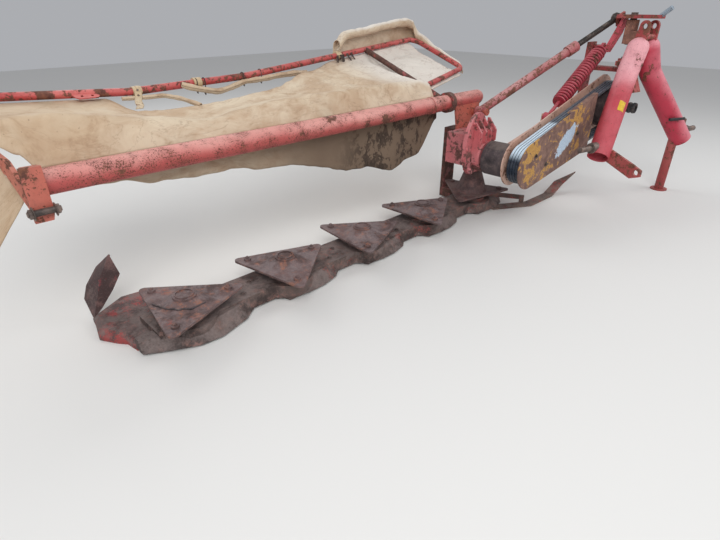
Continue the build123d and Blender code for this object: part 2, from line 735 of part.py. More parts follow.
# Swing frame
swing_spot = head * Location((0, swing_b, 0))
swing_x = swing_spot.position.X
swing_y = swing_spot.position.Y
plate_top = swing_plate_low + swing_plate_thick
upper_pin = rod((swing_x, swing_y, block_low - 4), (swing_x, swing_y, plate_top + 10), swing_pin_radius)
lower_pin = rod((swing_x, swing_y, lower_arm_low + 1), (swing_x, swing_y, lower_sleeve_top + 8),
                swing_pin_radius)
save("swing_pins", upper_pin, lower_pin)
swing_plate = head * flat(swing_plate_edge, swing_plate_low, plate_top, 8)
swing_plate = swing_plate - rod((swing_x, swing_y, 800), (swing_x, swing_y, 1000), swing_pin_radius)
eye_plane = Plane(high, x_dir=strut_way, z_dir=eye_way)
lug_near = eye_half + rod_lug_gap
rod_lug = extrude(eye_plane.offset(lug_near) * Rectangle(2 * rod_lug_half, 2 * rod_lug_half), rod_lug_plate)
eye_room = extrude(eye_plane.offset(-60) * Rectangle(180, 150), 60 + lug_near)
swing_plate = swing_plate - eye_room + rod_lug
swing_plate = max(swing_plate.solids(), key=lambda solid: solid.volume)

spring_arm = head * sideways([(252, swing_plate_low), (267, swing_plate_low), (332, 744), (314, 732),
                              (268, 826)], -20, 16)
hook_pin = cross_rod(spring_upper[0], spring_upper[1], spring_y - 34, post_front, spring_pin_radius)
spring_arm = spring_arm - hook_pin - swing_plate
spring_arm = max(spring_arm.solids(), key=lambda solid: solid.volume)
save("swing_plate", swing_plate)
save("spring_arm", spring_arm)

post = block((post_left, post_right), (post_front, post_rear), (arm_pivot_z - 60, post_top))
post = post + cross_rod(arm_pivot_x, arm_pivot_z, beam_front + 2, post_rear,
                        bearing_tube_radius - fit_clearance)
post = post - cross_rod(arm_pivot_x, arm_pivot_z, beam_front, post_front - 1.5,
                        shaft_radius + fit_clearance)
lower_arm = block((swing_x - 18, swing_x + 50), (swing_y, post_front), (lower_arm_low, lower_arm_top))
lower_arm = lower_arm + rod((swing_x, swing_y, lower_arm_low), (swing_x, swing_y, lower_arm_top),
                            block_radius)
lower_arm = lower_arm - lower_pin
post = post + lower_arm + hook_pin
save("swing_post", post)

grip = head * rod((0, 78, plate_top - 4), (0, 33, plate_top + 32), 11)
grip = grip - swing_plate
save("latch_handle", max(grip.solids(), key=lambda solid: solid.volume))

# Spring: a ringed sleeve as the coil, its hook, and the rod that runs inside
up = Vector(spring_upper[0], spring_y, spring_upper[1])
down = Vector(spring_lower[0], spring_y, spring_lower[1])
spring_way = (down - up).normalized()
coil_pitch = coil_length / spring_turns
ring_radius = spring_radius - spring_wire
coil_face = Pos(ring_radius - 1.5, coil_length / 2) * Rectangle(3, coil_length)
for turn in range(spring_turns):
    coil_face = coil_face + Pos(ring_radius, coil_pitch * (turn + 0.5)) * Circle(spring_wire)
coil = revolve(Plane.XZ * coil_face, Axis.Z)
coil_place = Plane(origin=up + spring_way * coil_start, z_dir=spring_way)
save("spring_coil", coil_place.location * coil)
hook = rod(up + spring_way * 14, up + spring_way * (coil_start - 0.3), 8)
hook = hook + cross_rod(up.X, up.Z, spring_y - 7, spring_y + 7, 20)
hook = hook + rod(up + spring_way * (coil_start - 8), up + spring_way * (coil_start - 0.3),
                  spring_radius - 4)
hook = hook - cross_rod(up.X, up.Z, spring_y - 10, spring_y + 10, spring_pin_radius + fit_clearance)
save("spring_hook", hook)
rod_start = up + spring_way * (coil_start + coil_length - 60)
spring_rod = rod(rod_start, down - spring_way * 12, spring_rod_radius)
spring_rod = spring_rod + rod(up + spring_way * (coil_start + coil_length + 0.5),
                              up + spring_way * (coil_start + coil_length + 8), spring_radius - 4)
spring_rod = spring_rod + cross_rod(down.X, down.Z, spring_y - spring_eye_half, spring_y + spring_eye_half,
                                    spring_eye_radius)
spring_bore = spring_pin_radius + spring_eye_slack
spring_rod = spring_rod - cross_rod(down.X, down.Z, spring_y - 30, spring_y + 30, spring_bore)
save("spring_rod", spring_rod)

# Cover frame
cover_line = [cover_point(*outer_corner), cover_point(*rear_kink), cover_point(*rear_middle),
              cover_point(*inner_corner), cover_point(*near_corner), cover_point(*return_end)]
cover_rounds = (260, 400, cover_bend, cover_bend)
hinge_ring_low = cover_point(hinge_arm_x, clamp_ring_radius - 4)
rear_share = (hinge_arm_x - rear_middle[0]) / (inner_corner[0] - rear_middle[0])
rear_reach = rear_middle[1] + rear_share * (inner_corner[1] - rear_middle[1])
hinge_arm = rod(hinge_ring_low, cover_point(hinge_arm_x, rear_reach - 8), cover_tube_radius)
cover_frame = bent_tube(cover_line, cover_rounds, cover_tube_radius)
ring_left = hinge_arm_x - clamp_ring_width / 2
clamp_ring = rod((ring_left, main_tube_y, main_tube_z),
                 (ring_left + clamp_ring_width, main_tube_y, main_tube_z), clamp_ring_radius)
bore = rod((ring_left - 5, main_tube_y, main_tube_z),
           (ring_left + clamp_ring_width + 5, main_tube_y, main_tube_z), main_tube_radius + fit_clearance)
save("cover_tube", cover_frame)
save("hinge_arm", (hinge_arm + clamp_ring - bore) - cover_frame)

pin_x, pin_z = outer_pin
arm_foot = Vector(pin_x, main_tube_y - main_tube_radius - 12, pin_z)
arm_head = Vector(*cover_point(outer_corner[0] + 8, outer_corner[1]))
arm_flat = Vector(arm_head.X - arm_foot.X, arm_head.Y - arm_foot.Y, 0)
arm_plane = Plane(arm_foot, x_dir=arm_flat, z_dir=arm_flat.cross(Vector(0, 0, 1)))
arm_points = [(0, 0), (arm_flat.length * 0.17, 96), (arm_flat.length, arm_head.Z - arm_foot.Z)]
outer_arm = strap(arm_points, outer_arm_width, outer_arm_plate, arm_plane)
collar = rod((main_tube_outer - 34, main_tube_y, main_tube_z),
             (main_tube_outer + 6, main_tube_y, main_tube_z), clamp_ring_radius)
collar = collar - rod((main_tube_outer - 4, main_tube_y, main_tube_z),
                      (main_tube_outer + 20, main_tube_y, main_tube_z), main_tube_radius + fit_clearance)
collar_plate = across([(-318, 592), (-267, 592), (-267, 470), (-274, 447), (-318, 447)],
                      main_tube_y - clamp_ring_radius - 8, main_tube_y - clamp_ring_radius + 4)
save("outer_bracket", collar + collar_plate)
outer_arm = outer_arm - cover_frame - (collar + collar_plate)
save("outer_arm", max(outer_arm.solids(), key=lambda solid: solid.volume))

clamp_spots = ((420, 437), (1262, 563))
save("cover_clamps", *[rod(cover_point(x - 16, reach), cover_point(x + 16, reach),
                           cover_tube_radius + clamp_wall) - cover_frame
                       for x, reach in clamp_spots])

# Canvas: over the frame and down behind the main tube
# x, height of the ridge 155 behind the tube, height of the fold 75 behind it, lower edge of the curtain
canvas_stations = (
    (-256, 682, 694, 440), (52, 637, 652, 455), (304, 595, 613, 445), (492, 624, 639, 415),
    (1002, 634, 650, 310), (1167, 628, 645, 268), (1349, 622, 640, 305), (1478, 616, 634, 460))
ridge_y = main_tube_y + 155
fold_y = main_tube_y + 75
curtain_y = main_tube_y + main_tube_radius + 0.3
curtain_top = main_tube_z + 25


def rear_reach_at(x):
    table = (outer_corner, rear_kink, rear_middle, inner_corner)
    for (x1, r1), (x2, r2) in zip(table, table[1:]):
        if x <= x2:
            return r1 + (x - x1) / (x2 - x1) * (r2 - r1)
    return inner_corner[1]


cloth = canvas_thickness
top_sections = []
curtain_sections = []
for x, ridge, fold, hem in canvas_stations:
    tube = cover_point(x, rear_reach_at(x))
    rear_z = tube[2] - cover_tube_radius - clamp_wall - 2
    top_sections.append([
        (x, tube[1] + 4, rear_z), (x, ridge_y, ridge), (x, fold_y, fold), (x, curtain_y, curtain_top),
        (x, curtain_y + cloth, curtain_top), (x, fold_y + 2, fold - cloth), (x, ridge_y, ridge - cloth),
        (x, tube[1] + 4, rear_z - cloth)])
    curtain_sections.append([
        (x, curtain_y, curtain_top - 0.5), (x, curtain_y + cloth, curtain_top - 0.5),
        (x, curtain_y + cloth, hem), (x, curtain_y, hem)])
bay_sections = []
for x in (1524, 1780, 1950):
    rear = rear_reach_at(x)
    front_share = (x - return_end[0]) / (near_corner[0] - return_end[0])
    front = return_end[1] + front_share * (near_corner[1] - return_end[1])
    drop = -cover_tube_radius - canvas_gap
    bay_sections.append([cover_point(x, rear, drop), cover_point(x, front, drop),
                         cover_point(x, front, drop - cloth), cover_point(x, rear, drop - cloth)])
flap_sections = []
for x, top in ((1262, 812), (1305, 850), (1927, 890), (1950, 880)):
    tube = cover_point(x, rear_reach_at(x))
    flap_y = tube[1] + cover_tube_radius + clamp_wall + canvas_gap
    flap_sections.append([(x, flap_y, tube[2] - 8), (x, flap_y, top), (x, flap_y + cloth, top),
                          (x, flap_y + cloth, tube[2] - 8)])
save("cover_canvas", ruled(top_sections), ruled(bay_sections), ruled(flap_sections))
save("hanging_canvas", ruled(curtain_sections))
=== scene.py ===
import math

import bmesh
import bpy
from mathutils import Matrix, Vector, noise


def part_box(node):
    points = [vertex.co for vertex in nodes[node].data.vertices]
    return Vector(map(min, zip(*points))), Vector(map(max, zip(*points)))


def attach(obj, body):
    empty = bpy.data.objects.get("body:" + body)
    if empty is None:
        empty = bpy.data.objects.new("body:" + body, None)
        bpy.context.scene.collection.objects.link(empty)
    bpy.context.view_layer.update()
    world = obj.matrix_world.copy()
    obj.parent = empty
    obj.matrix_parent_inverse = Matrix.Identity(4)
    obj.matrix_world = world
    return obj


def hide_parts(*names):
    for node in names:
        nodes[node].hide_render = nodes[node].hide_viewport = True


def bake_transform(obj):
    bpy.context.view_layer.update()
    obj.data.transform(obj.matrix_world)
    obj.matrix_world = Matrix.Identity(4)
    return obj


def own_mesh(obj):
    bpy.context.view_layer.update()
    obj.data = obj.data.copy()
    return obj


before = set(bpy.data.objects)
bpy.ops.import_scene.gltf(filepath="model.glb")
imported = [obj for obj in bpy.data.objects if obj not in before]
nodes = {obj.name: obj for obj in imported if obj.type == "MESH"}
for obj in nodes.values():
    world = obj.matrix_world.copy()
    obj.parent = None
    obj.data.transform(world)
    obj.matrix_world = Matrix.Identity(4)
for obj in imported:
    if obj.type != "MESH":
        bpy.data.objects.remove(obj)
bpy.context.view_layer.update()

# The layout's zero is the outer rotor's centre on the ground, which the bed's low corner gives
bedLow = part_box("cutterbar")[0]
layoutZero = Vector((bedLow.x + 0.177, bedLow.y + 0.127, 0))


def place(x, y, z):
    # millimetres along the bar, backwards and up, as metres in the frame
    return layoutZero + Vector((x, y, z)) / 1000


def linked(name, data):
    thing = bpy.data.objects.new(name, data)
    scene.collection.objects.link(thing)
    return thing


# Camera
scene = bpy.context.scene
view = {"spot": (-535.5, -1361.1, 944.6), "heading": (0.697, 0.717), "pitchDown": 28.23, "lens": 24.5}

cameraData = bpy.data.cameras.new("camera")
cameraData.lens = view["lens"]
cameraData.sensor_width = 36
camera = linked("camera", cameraData)
pitch = math.radians(view["pitchDown"])
lookX, lookY = view["heading"]
look = Vector((lookX * math.cos(pitch), lookY * math.cos(pitch), -math.sin(pitch)))
camera.location = place(*view["spot"])
camera.rotation_euler = look.to_track_quat("-Z", "Y").to_euler()
cameraData.clip_start = 0.02
scene.camera = camera
scene.view_settings.view_transform = "Standard"
print("camera set")


def tone(red, green, blue):
    # a colour as the eye reads it, 0 to 255, in the shader's linear units
    parts = []
    for part in (red, green, blue):
        share = part / 255
        parts.append(share / 12.92 if share <= 0.04045 else ((share + 0.055) / 1.055) ** 2.4)
    return (*parts, 1)


class Field:
    # one socket; arithmetic on it adds Math nodes to its material
    def __init__(self, finish, socket):
        self.finish = finish
        self.socket = socket

    def math(self, operation, first, second=0.0, clamped=False):
        return self.finish.node("ShaderNodeMath", {"operation": operation, "use_clamp": clamped},
                                {0: first, 1: second})

    def __add__(self, other):
        return self.math("ADD", self, other)

    def __radd__(self, other):
        return self.math("ADD", other, self)

    def __sub__(self, other):
        return self.math("SUBTRACT", self, other)

    def __rsub__(self, other):
        return self.math("SUBTRACT", other, self)

    def __mul__(self, other):
        return self.math("MULTIPLY", self, other)

    def __pow__(self, other):
        return self.math("POWER", self, other)

    def most(self, other):
        return self.math("MAXIMUM", self, other)

    def within(self):
        return self.math("ADD", self, 0.0, True)


class Finish:
    # patterns lie on Object coordinates, or on a cloth's own UV map in metres
    def __init__(self, name, clothMap=None):
        self.material = bpy.data.materials.new(name)
        self.material.use_nodes = True
        self.tree = self.material.node_tree
        self.shader = self.tree.nodes["Principled BSDF"]
        self.solid = self.node("ShaderNodeTexCoord", output="Object")
        self.here = self.node("ShaderNodeUVMap", {"uv_map": clothMap}) if clothMap else self.solid

    def node(self, kind, settings=None, sockets=None, output=0):
        made = self.tree.nodes.new(kind)
        for key, value in (settings or {}).items():
            setattr(made, key, value)
        for key, value in (sockets or {}).items():
            if isinstance(value, Field):
                self.tree.links.new(value.socket, made.inputs[key])
            else:
                made.inputs[key].default_value = value
        return Field(self, made.outputs[output])

    def noise(self, scale, detail=4.0, roughness=0.6, stretch=(1, 1, 1), distortion=0.0, shift=(0, 0, 0)):
        where = self.node("ShaderNodeMapping", {}, {0: self.here, "Location": shift, "Scale": stretch})
        return self.node("ShaderNodeTexNoise", {}, {"Vector": where, "Scale": scale, "Detail": detail,
                                                    "Roughness": roughness, "Distortion": distortion})

    def cells(self, scale):
        return self.node("ShaderNodeTexVoronoi", {}, {"Vector": self.here, "Scale": scale}, "Distance")

    def edge(self, value, low, high):
        return self.node("ShaderNodeMapRange", {"interpolation_type": "SMOOTHSTEP"},
                         {"Value": value, "From Min": low, "From Max": high})

    def mix(self, share, first, second):
        # a plain colour is given as the eye reads it
        first, second = [part if isinstance(part, Field) else tone(*part) for part in (first, second)]
        return self.node("ShaderNodeMix", {"data_type": "RGBA"}, {0: share, 6: first, 7: second}, 2)

    def axis(self, name):
        return self.node("ShaderNodeSeparateXYZ", {}, {0: self.solid}, "XYZ".index(name))

    def upward(self):
        normal = self.node("ShaderNodeTexCoord", output="Normal")
        return self.node("ShaderNodeSeparateXYZ", {}, {0: normal}, 2)

    def bump(self, height, strength, distance):
        return self.node("ShaderNodeBump", {}, {"Strength": strength, "Distance": distance, "Height": height})

    def give(self, **sockets):
        names = {"colour": "Base Color", "roughness": "Roughness", "metallic": "Metallic", "normal": "Normal"}
        for key, value in sockets.items():
            socket = self.shader.inputs[names[key]]
            if isinstance(value, Field):
                self.tree.links.new(value.socket, socket)
            else:
                socket.default_value = value
        return self.material


# Worn paint: fresh and faded colour, the faded colour leaning to what faces up, partly real fading and partly
# a painted highlight, rust specks and patches, and dirt on what faces up. Where fadeRise is given, the paint
# turns from fresh to faded between those two heights in metres
def wornPaint(name, fresh, faded, rustShare=0.5, speckScale=95, fadeAndHighlightUp=0.6, dirt=0.25, rustDark=(74, 48, 40),
              rustLight=(122, 80, 60), shift=(0, 0, 0), fadeRise=None):
    make = Finish(name)
    broad = make.noise(3.2, 3, 0.55, shift=shift)
    middle = make.noise(17, 5, 0.62, shift=shift)
    fine = make.noise(speckScale, 4, 0.68, shift=shift)
    grain = make.noise(420, 2, 0.6)
    up = make.upward()
    # the faded colour leans to up-facing faces: partly real fading, partly a painted highlight
    fadeWithHighlight = make.edge(broad + up * fadeAndHighlightUp * 0.35, 0.32, 0.85)
    if fadeRise:
        fadeWithHighlight = fadeWithHighlight * 0.3 + make.edge(make.axis("Z") + (broad - 0.5) * 0.12, *fadeRise) * 0.85
    paint = make.mix(fadeWithHighlight.within(), fresh, faded)
    paint = make.mix(make.edge(middle, 0.42, 0.75) * 0.4, paint, [part * 0.74 for part in fresh])
    paint = make.mix(make.edge(make.noise(speckScale * 2.2, 3, 0.7, shift=shift), 0.5, 0.72) * 0.35, paint,
                     [part * 0.6 + 20 for part in fresh])
    below = 1 - make.edge(up, -0.7, 0.5)
    lean = rustShare + below * 0.25
    specks = make.edge(fine + (middle - 0.5) * 0.5 + lean * 0.16, 0.665, 0.72)
    patches = make.edge(middle + (broad - 0.5) * 0.7 + lean * 0.14, 0.71, 0.745)
    rust = specks.most(patches)
    rustColour = make.mix(make.edge(make.noise(60, 5, 0.7), 0.35, 0.65), rustDark, rustLight)
    colour = make.mix(rust * 0.92, paint, rustColour)
    dust = make.edge(up, 0.25, 1.0) * make.edge(make.noise(26, 5, 0.7), 0.45, 0.7) * dirt
    colour = make.mix(dust, colour, (146, 130, 120))
    height = grain * 0.25 + (1 - rust) * 0.8 + fine * 0.35
    return make.give(colour=colour, roughness=(rust * 0.3 + 0.55 + (middle - 0.5) * 0.3).within(),
                     normal=make.bump(height, 0.55, 0.0012), metallic=0.0)


# Bare rusty steel or iron in several browns with dried mud, and what is left of its paint
def rustySteel(name, dark, middleTone, light, mud=0.3, mudColour=(116, 102, 90), polish=0.0, roughness=0.72,
               paintLeft=None, paintShare=0.0):
    make = Finish(name)
    broad = make.noise(6, 4, 0.6)
    middle = make.noise(28, 6, 0.66)
    fine = make.noise(150, 5, 0.7)
    pits = make.cells(190)
    up = make.upward()
    colour = make.mix(make.edge(broad + (middle - 0.5) * 0.6, 0.38, 0.62), dark, middleTone)
    colour = make.mix(make.edge(middle + (fine - 0.5) * 0.5, 0.5, 0.7) * 0.85, colour, light)
    if paintLeft:
        flakes = make.noise(9, 6, 0.72, shift=(7, 2, 4)) + (fine - 0.5) * 0.5
        left = make.edge(flakes, 0.66 - paintShare, 0.76 - paintShare)
        colour = make.mix(left * 0.9, colour, paintLeft)
    colour = make.mix(make.edge(fine, 0.58, 0.75) * 0.55, colour, [part * 0.55 for part in dark])
    grit = make.edge(make.noise(330, 3, 0.7), 0.56, 0.7)
    colour = make.mix(grit * 0.35, colour, [part * 0.7 + 76 for part in middleTone])
    soil = make.noise(14, 6, 0.7, shift=(3, 1, 0)) + up * 0.12
    soil = make.edge(soil, 0.62 - mud * 0.3, 0.78 - mud * 0.25)
    soil = soil * (0.55 + make.edge(fine, 0.35, 0.6) * 0.45)
    colour = make.mix(soil * 0.85, colour, mudColour)
    height = fine * 0.6 + middle * 0.9 + make.edge(pits, 0.0, 0.35) * 0.35
    height = height + soil * make.noise(90, 4, 0.7) * 0.9
    metallic = (1 - soil) * polish if polish else 0.0
    return make.give(colour=colour, metallic=metallic, normal=make.bump(height, 0.7, 0.002),
                     roughness=(roughness + (fine - 0.5) * 0.3).within())


# Each finish's colours; wornPaint goes from fresh to faded, rustySteel from dark to light
materials = {
    "mainTube": wornPaint("fadedTubeRed", (182, 82, 78), (224, 160, 150), 0.62, 250, 1.1, dirt=0.2),
    "coverTube": wornPaint("flakedTubeRed", (180, 62, 62), (210, 114, 108), 0.75, 46, 0.5, dirt=0.4),
    "brace": wornPaint("rustedBraceRed", (150, 62, 60), (170, 92, 88), 2.0, 34, 0.4, dirt=0.5,
                       rustDark=(62, 46, 42), rustLight=(104, 78, 66)),
    "leg": wornPaint("legRed", (184, 32, 52), (234, 168, 174), 0.2, 70, 0.5, dirt=0.1, shift=(2, 0, 0),
                     fadeRise=(0.56, 0.72)),
    "farLeg": wornPaint("farLegRed", (186, 46, 68), (220, 132, 142), 0.15, 70, 1.6, dirt=0.1,
                        shift=(5, 0, 0)),
    "headPlate": wornPaint("headPlateRed", (158, 56, 58), (190, 112, 104), 0.9, 60, 0.5),
    "armPink": wornPaint("armPink", (198, 62, 78), (222, 128, 136), 0.4, 60, 0.5),
    "swing": wornPaint("swingFrameRed", (144, 46, 50), (172, 88, 84), 1.0, 48, 0.4, dirt=0.4),
    "stand": wornPaint("standRed", (154, 58, 58), (178, 100, 94), 0.6, 70, 0.5, dirt=0.15),
    "bracket": wornPaint("bracketOrangeRed", (184, 96, 80), (204, 138, 120), 0.6, 70, 0.4, dirt=0.4),
    "casting": wornPaint("castingRed", (194, 98, 102), (214, 146, 148), 0.75, 40, 0.5, dirt=0.7,
                         rustDark=(78, 54, 50), rustLight=(122, 84, 76)),
    # gear column: dark brown-red over its rust, partly painted shade
    "column": wornPaint("columnRedPaintedShade", (112, 52, 48), (124, 76, 70), 1.5, 34, 0.3, dirt=0.8,
                        rustDark=(58, 42, 38), rustLight=(92, 64, 54)),
    "spring": wornPaint("springRed", (166, 50, 66), (198, 100, 108), 0.3, 80, 0.5),
    "strut": wornPaint("strutPink", (170, 92, 94), (200, 146, 144), 0.9, 60, 0.8, dirt=0.3),
    "peach": wornPaint("peachPaint", (196, 152, 132), (212, 182, 166), 0.4, 60, 0.4, rustDark=(96, 60, 44)),
    "clamp": wornPaint("clampCream", (196, 170, 132), (214, 196, 166), 0.5, 60, 0.3),
    "shoe": rustySteel("shoeWorn", (76, 58, 56), (102, 84, 81), (138, 100, 92), 0.3, (120, 107, 103),
                       paintLeft=(158, 62, 60), paintShare=0.2),
    "divider": rustySteel("dividerBrown", (70, 52, 51), (94, 72, 70), (124, 92, 88), 0.1, (120, 102, 98),
                          paintLeft=(156, 66, 74), paintShare=0.06),
    "discs": rustySteel("discRust", (80, 62, 60), (112, 90, 88), (160, 106, 82), 0.3, (134, 120, 120),
                        paintLeft=(156, 84, 74), paintShare=0.06),
    "hat": rustySteel("hatRust", (66, 48, 48), (96, 72, 70), (124, 86, 80), 0.3, (112, 94, 90),
                      paintLeft=(148, 58, 64), paintShare=0.04),
    "bed": rustySteel("bedRust", (64, 51, 48), (102, 86, 81), (140, 104, 94), 0.4, (126, 112, 108),
                      paintLeft=(150, 70, 62), paintShare=0.08),
    "runner": rustySteel("runnerWorn", (84, 68, 62), (116, 98, 90), (140, 100, 88), 0.3, (128, 114, 104),
                         paintLeft=(150, 62, 58), paintShare=0.12),
    "drum": rustySteel("drumBlack", (46, 40, 42), (78, 68, 70), (104, 90, 88), 0.25, (112, 100, 94)),
    "pins": rustySteel("pinSteel", (92, 80, 74), (126, 112, 106), (148, 122, 106), 0.1, polish=0.5,
                       roughness=0.5),
    "rodDark": rustySteel("rodDark", (50, 44, 40), (82, 72, 68), (108, 92, 84), 0.15, polish=0.3,
                          roughness=0.5),
    "block": rustySteel("pivotRust", (112, 74, 62), (148, 102, 86), (172, 120, 96), 0.2),
}
print("metal finishes made")


# Small plain finishes: dark rag, black rubber and the blank yellow patch, each with its wear and dirt
def smallFinish(name, clean, worn, dirtColour, scale, roughness, depth):
    make = Finish(name)
    wear = make.edge(make.noise(scale, 5, 0.7), 0.4, 0.7)
    dirt = make.edge(make.noise(scale * 0.4, 5, 0.7, shift=(4, 0, 2)), 0.52, 0.7)
    colour = make.mix(wear, clean, worn)
    colour = make.mix(dirt * 0.7, colour, dirtColour)
    return make.give(colour=colour, roughness=(roughness + wear * 0.2).within(),
                     normal=make.bump(make.noise(scale * 5, 4, 0.7), 0.6, depth))


materials["rag"] = smallFinish("darkRag", (52, 42, 40), (94, 76, 70), (120, 106, 96), 120, 0.9, 0.002)
materials["rubber"] = smallFinish("blackRubber", (26, 26, 28), (54, 54, 56), (104, 96, 90), 60, 0.5, 0.0006)
materials["yellow"] = smallFinish("patchYellow", (226, 188, 40), (204, 166, 46), (120, 96, 52), 90, 0.5,
                                  0.0003)


# Belt guard: brown rust with ochre paint peeling and a bare pale patch
def guardFinish():
    make = Finish("guardPeeling")
    patchSpot, patchHalf, patchSlope = (1850, -343, 376), (96, 52), 0.49
    broad = make.noise(5, 4, 0.6)
    middle = make.noise(22, 6, 0.7, distortion=0.6)
    fine = make.noise(120, 5, 0.7)
    rust = make.mix(make.edge(middle, 0.38, 0.66), (106, 78, 70), (144, 112, 98))
    ochre = make.mix(make.edge(fine, 0.4, 0.7), (190, 146, 74), (160, 112, 62))
    peel = make.edge(middle + (broad - 0.5) * 0.9, 0.56, 0.585)
    colour = make.mix(peel, rust, ochre)
    centre = place(*patchSpot)
    along = make.axis("X") - centre.x
    across = along * (1000 / patchHalf[0])
    upright = (make.axis("Z") - centre.z - along * patchSlope) * (1000 / patchHalf[1])
    reach = (across * across + upright * upright) ** 0.5 + (make.noise(30, 5, 0.7) - 0.5) * 1.5
    patch = 1 - make.edge(reach, 0.86, 0.95)
    pale = make.mix(make.edge(fine, 0.35, 0.7), (196, 212, 226), (158, 182, 204))
    colour = make.mix(patch, colour, pale)
    colour = make.mix(make.edge(make.noise(64, 5, 0.75), 0.62, 0.7), colour, (66, 42, 32))
    height = peel * 0.7 + fine * 0.4 - patch * 0.4
    return make.give(colour=colour, roughness=(0.74 - patch * 0.3).within(),
                     normal=make.bump(height, 0.6, 0.0012))


# Rubber belts: glossy blue-black, with a painted pale sky reflection where they face up on their outer
# stretch, faded out towards the head as painted shade
def beltFinish():
    make = Finish("beltRubber")
    reflectionShadeFrom = (layoutZero.x + 1.76, layoutZero.x + 1.8)
    dust = make.edge(make.noise(18, 5, 0.7), 0.45, 0.75)
    # painted sky reflection on up-facing belt, faded out towards the head as painted shade
    paintedSkyReflection = make.edge(make.upward() + (make.noise(9, 4, 0.6) - 0.5) * 0.3, 0.3, 0.75)
    paintedSkyReflection = paintedSkyReflection * (1 - make.edge(make.axis("X"), *reflectionShadeFrom) * 0.85)
    colour = make.mix(paintedSkyReflection, (30, 40, 54), (204, 222, 236))
    colour = make.mix(dust * 0.2, colour, (112, 118, 128))
    return make.give(colour=colour, roughness=(0.24 + dust * 0.35).within(),
                     normal=make.bump(make.noise(260, 3, 0.6), 0.3, 0.0005))


# Canvas: cream with stains, specks and a weave, all on the cloth's UV map, whose zero lies at startX metres
# along the bar. The curtain also has mud spattered on its inner half
def canvasFinish(name, startX, muddy=False):
    make = Finish(name, "cloth")
    threads = 620  # to the metre
    sockets = {"Vector": make.here, "Scale": threads / 6.28}
    warp, weft = [make.node("ShaderNodeTexWave", {"bands_direction": way}, sockets) for way in "XY"]
    broad = make.noise(2.6, 4, 0.6)
    middle = make.noise(11, 6, 0.68, distortion=0.8)
    fine = make.noise(60, 5, 0.7)
    crease = make.noise(7, 5, 0.6, stretch=(0.45, 1, 1.6), distortion=1.4, shift=(1, 3, 0))
    along = make.node("ShaderNodeSeparateXYZ", {}, {0: make.here}) + startX
    up = make.upward()
    colour = make.mix(make.edge(broad + (middle - 0.5) * 0.5, 0.36, 0.64), (214, 197, 172), (192, 166, 138))
    # painted highlight: the inner bay's up-facing cloth paler
    pale = make.edge(along, 1.15, 1.5) * make.edge(up, 0.3, 0.9)
    colour = make.mix(pale * 0.85, colour, (232, 226, 217))
    shade = (1 - make.edge(up, -0.1, 0.75)) * make.edge(middle, 0.3, 0.7)
    colour = make.mix(shade * 0.3, colour, (160, 130, 106))
    # painted shade: thin dark lines along the creases
    line = make.edge(crease, 0.49, 0.5) * (1 - make.edge(crease, 0.5, 0.515))
    colour = make.mix(line * 0.3, colour, (138, 108, 86))
    outer = 1 - make.edge(along, -0.16, 0.14)
    colour = make.mix(outer * 0.4, colour, (186, 158, 126))
    stain = make.edge(middle + (fine - 0.5) * 0.35 + outer * 0.05, 0.56, 0.74)
    colour = make.mix(stain * 0.42, colour, (158, 128, 100))
    spots = make.edge(make.cells(62) + (middle - 0.5) * 0.55 + (broad - 0.5) * 0.2 - outer * 0.03, 0.1, 0.03)
    colour = make.mix(spots * make.edge(broad, 0.42, 0.6) * 0.6, colour, (104, 78, 60))
    height = warp * 0.12 + weft * 0.12 + fine * 0.35 + middle * 0.6 + crease * 0.7
    roughness = 0.86
    if muddy:
        rise = make.axis("Z")
        low = 1 - make.edge(rise, 0.49, 0.515)
        inner = make.edge(along + (broad - 0.5) * 0.3, 0.75, 1.05)
        soiled = low * (make.edge(along, 0.2, 0.9) * 0.7 + 0.3)
        colour = make.mix((soiled * 1.1).within(), colour, (118, 99, 82))
        drops = make.noise(24, 4, 0.6, shift=(5, 5, 1))
        splash = make.edge(middle + (fine - 0.5) * 0.55 + (drops - 0.5) * 0.5, 0.5, 0.56)
        mud = (low * inner * splash).within()
        wet = make.mix(make.edge(fine, 0.4, 0.65), (50, 40, 34), (82, 66, 55))
        colour = make.mix(mud * 0.92, colour, wet)
        height = height + mud * fine * 1.5
        roughness = (0.86 + mud * 0.1).within()
    return make.give(colour=colour, roughness=roughness, normal=make.bump(height, 0.5, 0.002))


materials["guard"] = guardFinish()
materials["belts"] = beltFinish()
materials["canvas"] = canvasFinish("canvasCream", -0.41)
materials["curtain"] = canvasFinish("curtainCream", -0.256, muddy=True)
materials["flap"] = canvasFinish("flapCream", 1.262)

nodeFinish = {
    "mainTube": ("main_tube",), "coverTube": ("cover_tube",), "brace": ("hinge_arm",),
    "leg": ("near_leg",), "farLeg": ("far_leg",),
    "headPlate": ("top_clevis", "gusset", "lower_bracket", "drawbar_plate"),
    "swing": ("swing_plate", "swing_post"), "armPink": ("spring_arm",),
    "stand": ("parking_stand", "stand_sleeve"),
    "bracket": ("tube_bracket", "outer_bracket", "outer_arm", "strut_lug"),
    "casting": ("gearbox", "swivel_flange"), "column": ("gear_column",), "shoe": ("outer_skid",),
    "divider": ("divider",), "runner": ("inner_runner", "runner_stay"),
    "spring": ("spring_coil", "spring_hook", "spring_rod"), "strut": ("strut_barrel",),
    "peach": ("arm_beam", "guard_rear"), "clamp": ("cover_clamps",),
    "discs": ("disc_1", "disc_2", "disc_3", "disc_4"), "hat": ("disc_5",),
    "bed": ("cutterbar", "skid_shoes"), "drum": ("input_drum", "drive_pulley", "driven_pulley"),
    "pins": ("hitch_pins", "pto_shaft", "swing_pins", "strut_pin"), "rodDark": ("strut_rod",),
    "block": ("pivot_block",), "guard": ("guard_front",), "belts": ("belts",),
    "canvas": ("cover_canvas", "hanging_canvas"), "grip": ("latch_handle",),
}


